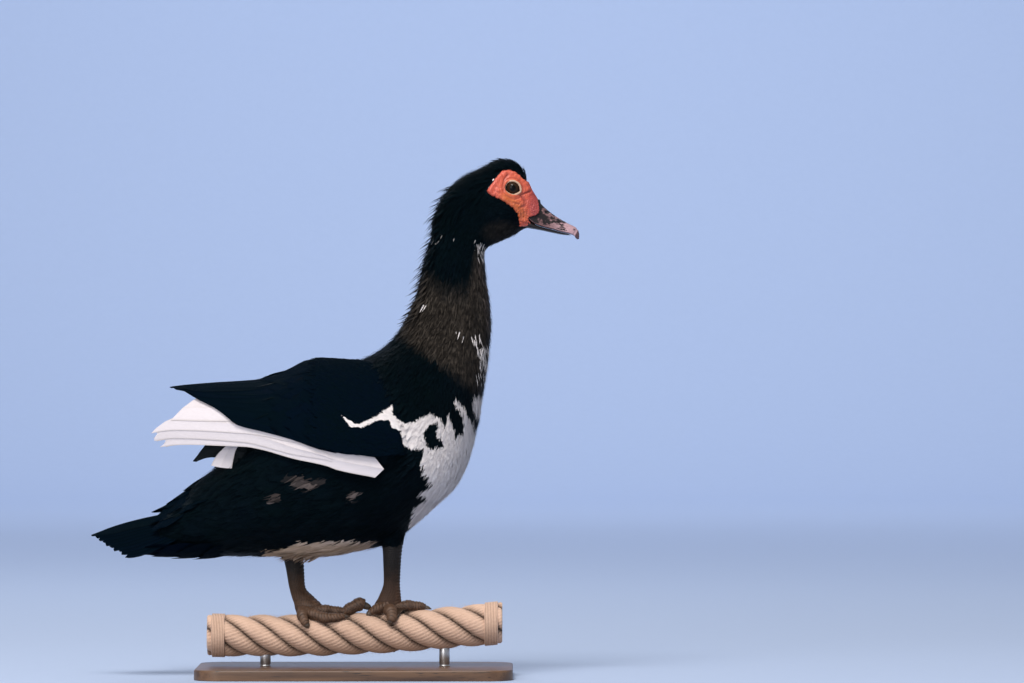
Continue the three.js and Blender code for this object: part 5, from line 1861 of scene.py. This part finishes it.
def leg_stations(side):
    leg, y = LEG[side], SIDES[side] * LEG["y"]
    x, shank, foot, hem = leg["ankle"], leg["shank"], leg["foot"], leg["hem"]
    return [
        (x, y, hem + 6, 9.4, 8.6), (mix(x, shank, 0.5), mix(y, 0, 0.1), hem - 11, 7.8, 6.6),
        (shank, mix(y, 0, 0.45), mix(hem, LEG["toes"], 0.55), 7.0, 5.2),
        (mix(shank, foot, 0.55) + 0.3, mix(y, 0, 0.8), LEG["sole"] + 1, 10.0, 6.4),
        (foot + 0.6, 0, 67, 12.2, 8.4), (foot + 1, 0, 57, 9.8, 8)
    ]


# %% Toes, claws and webs
FEET = {
    "right": {
        "toes": [
            [
                (29, 0, 3, 7.2), (40, 0.05, 3.2, 5.6), (52, 0.1, 3.8, 5.2), (62, 0.14, 2.8, 3.8),
                (68, 0.16, 1.4, 2.5), (73, 0.2, 0.2, 0.5)
            ],
            [
                (30, 0.1, 3, 6.8), (34, 0.5, 3.2, 5.8), (35.5, 0.84, 2.8, 5.0), (34.5, 1.02, 2.2, 3.6),
                (33, 1.2, 0.4, 0.6)
            ],
            [
                (30, -0.1, 3, 6.2), (37, -0.6, 3.6, 5.0), (42, -1.2, 3, 4.2), (42, -1.8, 2.8, 3.4),
                (37, -2.45, 2, 2.4), (32, -2.95, 0.4, 0.5)
            ],
            [(30, 0.12, 5, 7.0), (22.5, 0.3, 4.2, 4.9), (16.5, 0.42, 2.6, 3.4), (11, 0.52, 0.6, 0.8)]
        ],
        "webs": [
            [((31, 0.08), (62, 0.1)), ((31, 0.2), (40, 0.95))],
            [((31, 0.02), (60, 0.02)), ((31, -0.2), (44, -1.2))]
        ],
    },
    "left": {
        "toes": [
            [
                (-49, 0, 3, 7.2), (-38, 0.06, 3.4, 6.0), (-25, 0.1, 2.8, 5.4), (-12, 0.1, 1, 4.8),
                (-2, 0.08, 5.2, 6.0), (5, 0.06, 7.6, 6.4), (11.5, 0.04, 5.4, 4.6), (17, 0.02, 1.6, 0.9)
            ],
            [
                (-47, 0.2, 3, 6.4), (-37, 0.55, 2.8, 5.0), (-26, 0.74, 2.4, 4.6), (-16, 0.72, 2, 3.6),
                (-9, 0.62, 1.4, 2.4), (-4, 0.54, 0.3, 0.5)
            ],
            [
                (-48, -0.1, 3, 6.2), (-40, -0.6, 3.6, 5.0), (-33, -1.15, 3, 4.2), (-31, -1.65, 2.6, 3.2),
                (-33, -2.1, 0.4, 0.5)
            ],
            [(-48, 0.12, 4.4, 6.2), (-49.5, 0.56, 3.2, 4.8), (-47, 0.92, 2.4, 3.8), (-43.5, 1.18, 0.5, 0.6)]
        ],
        "webs": [
            [((-44, 0.1), (-6, 0.1)), ((-44, 0.4), (-12, 0.68))],
            [((-46, 0), (-6, 0)), ((-46, -0.2), (-32, -1.2))]
        ],
    },
}

print(sum(len(foot["toes"]) for foot in FEET.values()), "toes")

# %% Toes and claws along the rope
CLAW_SHARE = 0.86
KNUCKLE_GAP = 11


def bent_tube(stations, rows, columns, share=(0, 1), size=None, scaled=0.0):
    """Rings square to a path over the rope, with plates on top and small scales below."""
    x, turn, lift, radius = np.array(stations, float).T
    knots = np.concatenate([on_rope(x, turn, lift), radius[:, None]], 1)
    values, reach = evenly(knots, rows * 4)
    t = np.linspace(*share, rows)
    values = np.stack([np.interp(t, np.linspace(0, 1, rows * 4), column) for column in values.T], -1)
    centre, radius = values[:, :3], values[:, 3] if size is None else size(t)
    way = unit(np.gradient(centre, axis=0))
    out = unit(centre - round_rope(centre[:, 0], 0, 0))
    beside = unit(np.cross(way, out))
    out = np.cross(beside, way)
    angle = full_turn(columns)
    length = (t * reach[-1])[:, None]
    small = 0.5 * hex_scales(angle * radius[:, None], length, SCALE["toe"])
    broad = 0.75 * plates(length + 0.8 * np.cos(2 * angle), SCALE["toe_plate"])
    relief = scaled * mix(small, broad, ease(np.cos(angle), 0.2, 0.6))
    knuckle = 1 + 0.07 * scaled * np.cos(length * TURN / KNUCKLE_GAP)
    thick = radius[:, None] * knuckle + relief
    upwards = out[:, None] * (thick * np.cos(angle) * 0.92)[..., None]
    return centre[:, None] + upwards + beside[:, None] * (thick * np.sin(angle))[..., None], relief


def toe_grid(stations):
    return bent_tube(stations, 90, 36, (0, CLAW_SHARE), scaled=1.0)


def claw_grid(stations):
    hook = [list(station) for station in stations]
    hook[-1][2] -= 0.8
    thickest = 0.95 * hook[-2][3]
    size = through((CLAW_SHARE - 0.06, thickest), (CLAW_SHARE + 0.05, thickest * 0.78), (1.0, 0.25))
    return bent_tube(hook, 26, 20, (CLAW_SHARE - 0.06, 1), size)[0]


print("claws take the last", round(1 - CLAW_SHARE, 2), "of each toe")

# %% Webs
def web_grid(first, second, rows=36, columns=26):
    """A thin web between two toes, as rings round its edge: its upper face and its lower face."""
    t, u = np.meshgrid(np.linspace(0, 1, rows), np.linspace(0, 1, columns), indexing="ij")
    (ax, a_turn), (bx, b_turn) = [[mix(a, b, t) for a, b in zip(*edge)] for edge in (first, second)]
    slack = 1 - 0.28 * np.sin(math.pi * u) * t
    x = mix(mix(first[0][0], second[0][0], u), mix(ax, bx, u), slack)
    turn = mix(a_turn, b_turn, u)
    crinkle = 0.5 * np.sin(u * 17) * np.sin(math.pi * u) * t
    ribs = 0.3 * hex_scales(x, turn * 22, SCALE["web"])
    upper, lower = on_rope(x, turn, 2.4 + crinkle + ribs), on_rope(x, turn, 1.3 + crinkle)
    return np.concatenate([upper, lower[:, ::-1]], 1), np.concatenate([ribs, 0 * ribs], 1)


print(sum(len(foot["webs"]) for foot in FEET.values()), "webs")

# %% Finishes and pieces of the feet
def leg_finish():
    material, shader, place = new_finish("leg_skin", Specular_IOR_Level=0.25)
    relief = place.mark("relief")
    mottle = place.noise(160, 4)
    groove = mottle.blend((0.004, 0.003, 0.003), (0.010, 0.007, 0.005))
    low = 1 - (place.axis("Z") + (mottle - 0.5) * 0.03).ramp(0.070, 0.108)
    scale = low.blend((0.011, 0.008, 0.006), mottle.blend((0.036, 0.019, 0.011), (0.16, 0.088, 0.054)))
    drive(shader, Base_Color=relief.ramp(0.05, 0.5).blend(groove, scale), Roughness=mottle * 0.2 + 0.38,
          Normal=place.bump(place.noise(1100, 2), 0.0001, 0.4))
    return material


def claw_finish():
    material, shader, place = new_finish("claw_horn", Coat_Weight=0.2, Coat_Roughness=0.3)
    grain = place.noise(600, 3)
    colour = grain.blend((0.020, 0.014, 0.011), (0.11, 0.075, 0.05))
    drive(shader, Base_Color=colour, Roughness=grain * 0.2 + 0.3)
    return material


scaly, horny = leg_finish(), claw_finish()


def foot_pieces(side):
    leg, relief = leg_grid(leg_stations(side), 230)
    toes = [toe_grid(stations) for stations in FEET[side]["toes"]]
    webs = [web_grid(*edges) for edges in FEET[side]["webs"]]
    grids, reliefs = zip((leg, relief), *toes, *webs)
    ring_piece("leg_" + side, grids, scaly, "leg_skin", ["shank_" + side, "foot_" + side], relief=reliefs)
    ring_piece("claws_" + side, [claw_grid(stations) for stations in FEET[side]["toes"]], horny, "leg_skin")


for side in SIDES:
    foot_pieces(side)

# %% [markdown]
# ## Rope
#
# The perch is a laid rope of four strands. Each strand is itself twisted from yarns the other way, so the
# yarns end up running nearly along the rope. One fine tube carries both as relief: deep valleys between
# the strands and small round ridges for the yarns. Loose fibres stand off it, and wound twine keeps the
# cut ends from opening.

# %% Rope
YARN = {"lean": math.radians(20), "count": 34, "rise": 0.9}


def rope_grid(rows=440, columns=208):
    x = np.linspace(ROPE["from"], ROPE["to"], rows)[:, None]
    around = full_turn(columns)
    angle = around + TURN * x / ROPE["pitch"]
    strand = np.abs(np.cos(ROPE["strands"] / 2 * around))
    girth = angle * ROPE["radius"]
    period = math.cos(YARN["lean"]) * TURN * ROPE["radius"] / YARN["count"]
    bend = 1.6 * (1 - strand)
    phase = (x * math.sin(YARN["lean"]) + girth * math.cos(YARN["lean"]) + bend) / period % 1
    yarn = np.sqrt(np.maximum(1 - (2 * phase - 1) ** 2, 0))
    slack = 0.5 * np.array([[noise.noise(Vector((a * 0.05, k * 7.0, 0))) for a in x[:, 0].tolist()]
                            for k in range(ROPE["strands"])])
    which = np.floor((around + math.pi / 4) / (math.pi / 2)).astype(int) % ROPE["strands"]
    radius = ROPE["radius"] - 0.5 - ROPE["groove"] * (1 - strand ** 0.62) + YARN["rise"] * (yarn - 0.5)
    radius = radius + slack[which].T - 1.2 * ease(np.abs(x), ROPE["to"] - 1.6, ROPE["to"])
    # The second grid is the relief's height, used as painted shade: low in the valleys between strands and
    # yarns.
    return round_rope(x, angle, radius), np.clip(0.55 * (yarn * strand ** 0.3 + strand ** 0.6) - 0.05, 0, 1)


def rope_end(sign, rings=14, columns=208):
    """The cut face of the rope: strand ends with yarns, slightly domed."""
    x = ROPE["to"] * sign
    around = full_turn(columns)
    angle = around + TURN * x / ROPE["pitch"]
    strand = np.abs(np.cos(ROPE["strands"] / 2 * around))
    edge = ROPE["radius"] - 1.9 - ROPE["groove"] * (1 - strand ** 0.62)
    share = np.linspace(1, 0.02, rings)[:, None]
    dome = 0.25 * (1 - share ** 2) - 1.2 * (1 - strand) * share
    tufts = 0.25 * np.cos(around * 22) * np.cos(share * 24)
    point = [x + sign * (dome + tufts - 0.3) * 0.6, -edge * share * np.sin(angle),
             rope_level(x) + edge * share * np.cos(angle)]
    # The tone paints shade between the strand ends and towards the middle of the cut face.
    return stacked(*point), 0.4 + 0.3 * strand * share


print(YARN["count"], "yarn ridges round the rope")

# %% Twine and loose fibres
def whipping_grid(sign, rows=110, columns=96):
    """Twine wound close round the rope near a cut end."""
    first = sign * (ROPE["to"] - 4)
    x = np.linspace(first, first - sign * ROPE["whipping"], rows)[:, None]
    angle = full_turn(columns)
    turn = (x / 1.5 + angle / TURN) % 1
    twine = np.sqrt(np.maximum(1 - (2 * turn - 1) ** 2, 0))
    edge = hump(np.abs(x - first + sign * ROPE["whipping"] / 2) - ROPE["whipping"] / 2, 0.3)
    radius = ROPE["radius"] + 0.15 + 0.65 * twine - 2.5 * edge
    # The twine's own height serves as tone, so painted shade darkens the gaps between its turns.
    return round_rope(x, angle, radius), twine


def rope_fibres(count=2600):
    """Loose fibres that stand off the strands, as thin strips."""
    x, turn = rng.uniform(ROPE["from"] + 20, ROPE["to"] - 20, count), rng.uniform(0, TURN, count)
    start = on_rope(x, turn, -1.2)
    out = unit(on_rope(x, turn, 0) - on_rope(x, turn, -10))
    way = stacked(np.cos(rng.normal(0, 0.5, count)), 0, 0) * rng.choice([-1, 1], count)[:, None]
    beside = np.cross(way, out) * rng.normal(0, 0.5, count)[:, None]
    way = unit(way + beside + out * rng.uniform(0.1, 0.7, count)[:, None])
    side = unit(np.cross(way, out))
    length = rng.uniform(3, 9, count)
    t = np.linspace(0, 1, 5)
    bend = out * rng.uniform(-1.5, 1.6, count)[:, None]
    path = start[:, None] + (way * length[:, None])[:, None] * t[:, None]
    path = path + bend[:, None] * (t ** 2)[:, None]
    width = 0.16 * (1 - 0.7 * t)
    across = np.array([-0.5, 0.5])
    return path[:, :, None] + side[:, None, None] * (width[:, None] * across)[None, ..., None], x, turn


print("twine covers", ROPE["whipping"], "mm at each end")

# %% Rope pieces
def rope_finish():
    material, shader, place = new_finish("rope_fibre", Sheen_Weight=0.15, Specular_IOR_Level=0.2)
    # The mark tone is the height of the relief: painted shade darkens the valleys between strands, yarns
    # and twine turns, and the tops keep the rope's tan.
    height = place.mark("tone")
    fibre = place.scaled(300, 900, 900).noise(1, 4, 0.65)
    cloud = place.noise(30, 3)
    low = fibre.blend((0.045, 0.026, 0.017), (0.10, 0.062, 0.042))
    high = (fibre * 0.6 + cloud * 0.4).blend((0.42, 0.265, 0.185), (0.74, 0.51, 0.385))
    drive(shader, Base_Color=height.ramp(0.15, 0.85).blend(low, high), Roughness=fibre * 0.1 + 0.85,
          Normal=place.bump(fibre, 0.0004, 0.7))
    return material


def rope_pieces():
    finish = rope_finish()
    grids, valley_shades = zip(rope_grid(), rope_end(1), rope_end(-1), whipping_grid(1), whipping_grid(-1))
    ring_piece("rope_laid", grids, finish, "rope", ["perch_rope"], tone=valley_shades)
    fibres, x, turn = rope_fibres()
    address = stacked(0.02 + 0.95 * turn / TURN, (x - ROPE["from"]) / (ROPE["to"] - ROPE["from"]))
    coat_piece("rope_fibres", [fibres], [address], finish, "rope", tone=[0.6 + 0.4 * rng.random(len(x))])


rope_pieces()

# %% [markdown]
# ## Stand
#
# A dark wooden base with softly rounded edges carries two steel rods that end in the rope. It's a plain
# museum stand, so its finish does the work: long grain with darker pores, and fine brushing round the
# rods.

# %% Stand
BASE = {"length": 300, "width": 170, "thick": 10, "corner": 26, "chamfer": 1.6}
RODS = {"stand_rod_rear": -85, "stand_rod_front": 85}


def base_outline(inset, z, corner_steps=22):
    length, width, corner = BASE["length"] / 2 - inset, BASE["width"] / 2 - inset, BASE["corner"] - inset
    ring = []
    for sx, sy, start in ((1, 1, 0), (-1, 1, 90), (-1, -1, 180), (1, -1, 270)):
        turn = np.radians(np.linspace(start, start + 90, corner_steps))
        ring.append(stacked(sx * (length - corner) + corner * np.cos(turn),
                            sy * (width - corner) + corner * np.sin(turn), z))
    return np.concatenate(ring)


def base_grid():
    turn = np.linspace(0, math.pi / 2, 7)
    chamfer, thick = BASE["chamfer"], BASE["thick"]
    low = [base_outline(0.8 * (1 - math.sin(a)), 0.8 - 0.8 * math.cos(a)) for a in turn]
    high = [base_outline(chamfer * (1 - math.cos(a)), thick - chamfer * (1 - math.sin(a))) for a in turn]
    return np.array(low + high)


def rod_grid(x, columns=64):
    foot, top = BASE["thick"] - 0.2, rope_level(x) - 2
    profile = [(5.0, foot), (5.0, foot + 1.2), (4.75, foot + 1.5), (4.75, foot + 1.9), (5.0, foot + 2.2),
               (5.0, top)]
    angle = full_turn(columns)
    return np.array([stacked(x + r * np.cos(angle), r * np.sin(angle), z) for r, z in profile])


def wood_finish():
    material, shader, place = new_finish("oiled_wood", Coat_Weight=0.15, Coat_Roughness=0.35)
    grain = place.scaled(5, 70, 70).noise(1, 5, 0.6)
    pores = place.scaled(60, 900, 900).noise(1, 2, 0.5)
    colour = grain.ramp(0.3, 0.7).blend((0.050, 0.022, 0.010), (0.155, 0.078, 0.036))
    colour = pores.ramp(0.6, 0.72).blend(colour, (0.022, 0.010, 0.005))
    drive(shader, Base_Color=colour, Roughness=grain * 0.2 + 0.36, Normal=place.bump(pores, 0.0001, 0.3))
    return material


def steel_finish():
    material, shader, place = new_finish("brushed_steel", Metallic=1.0)
    brushing = place.scaled(200, 200, 4000).noise(1, 3, 0.6)
    colour = brushing.blend((0.42, 0.42, 0.43), (0.62, 0.62, 0.63))
    drive(shader, Base_Color=colour, Roughness=brushing * 0.2 + 0.24,
          Normal=place.bump(brushing, 0.00005, 0.4))
    return material


ring_piece("stand_base_wood", [base_grid()], wood_finish(), "stand_wood", ["stand_base"])
steel = steel_finish()
for name, x in RODS.items():
    ring_piece(name + "_steel", [rod_grid(x)], steel, "stand_metal", [name])
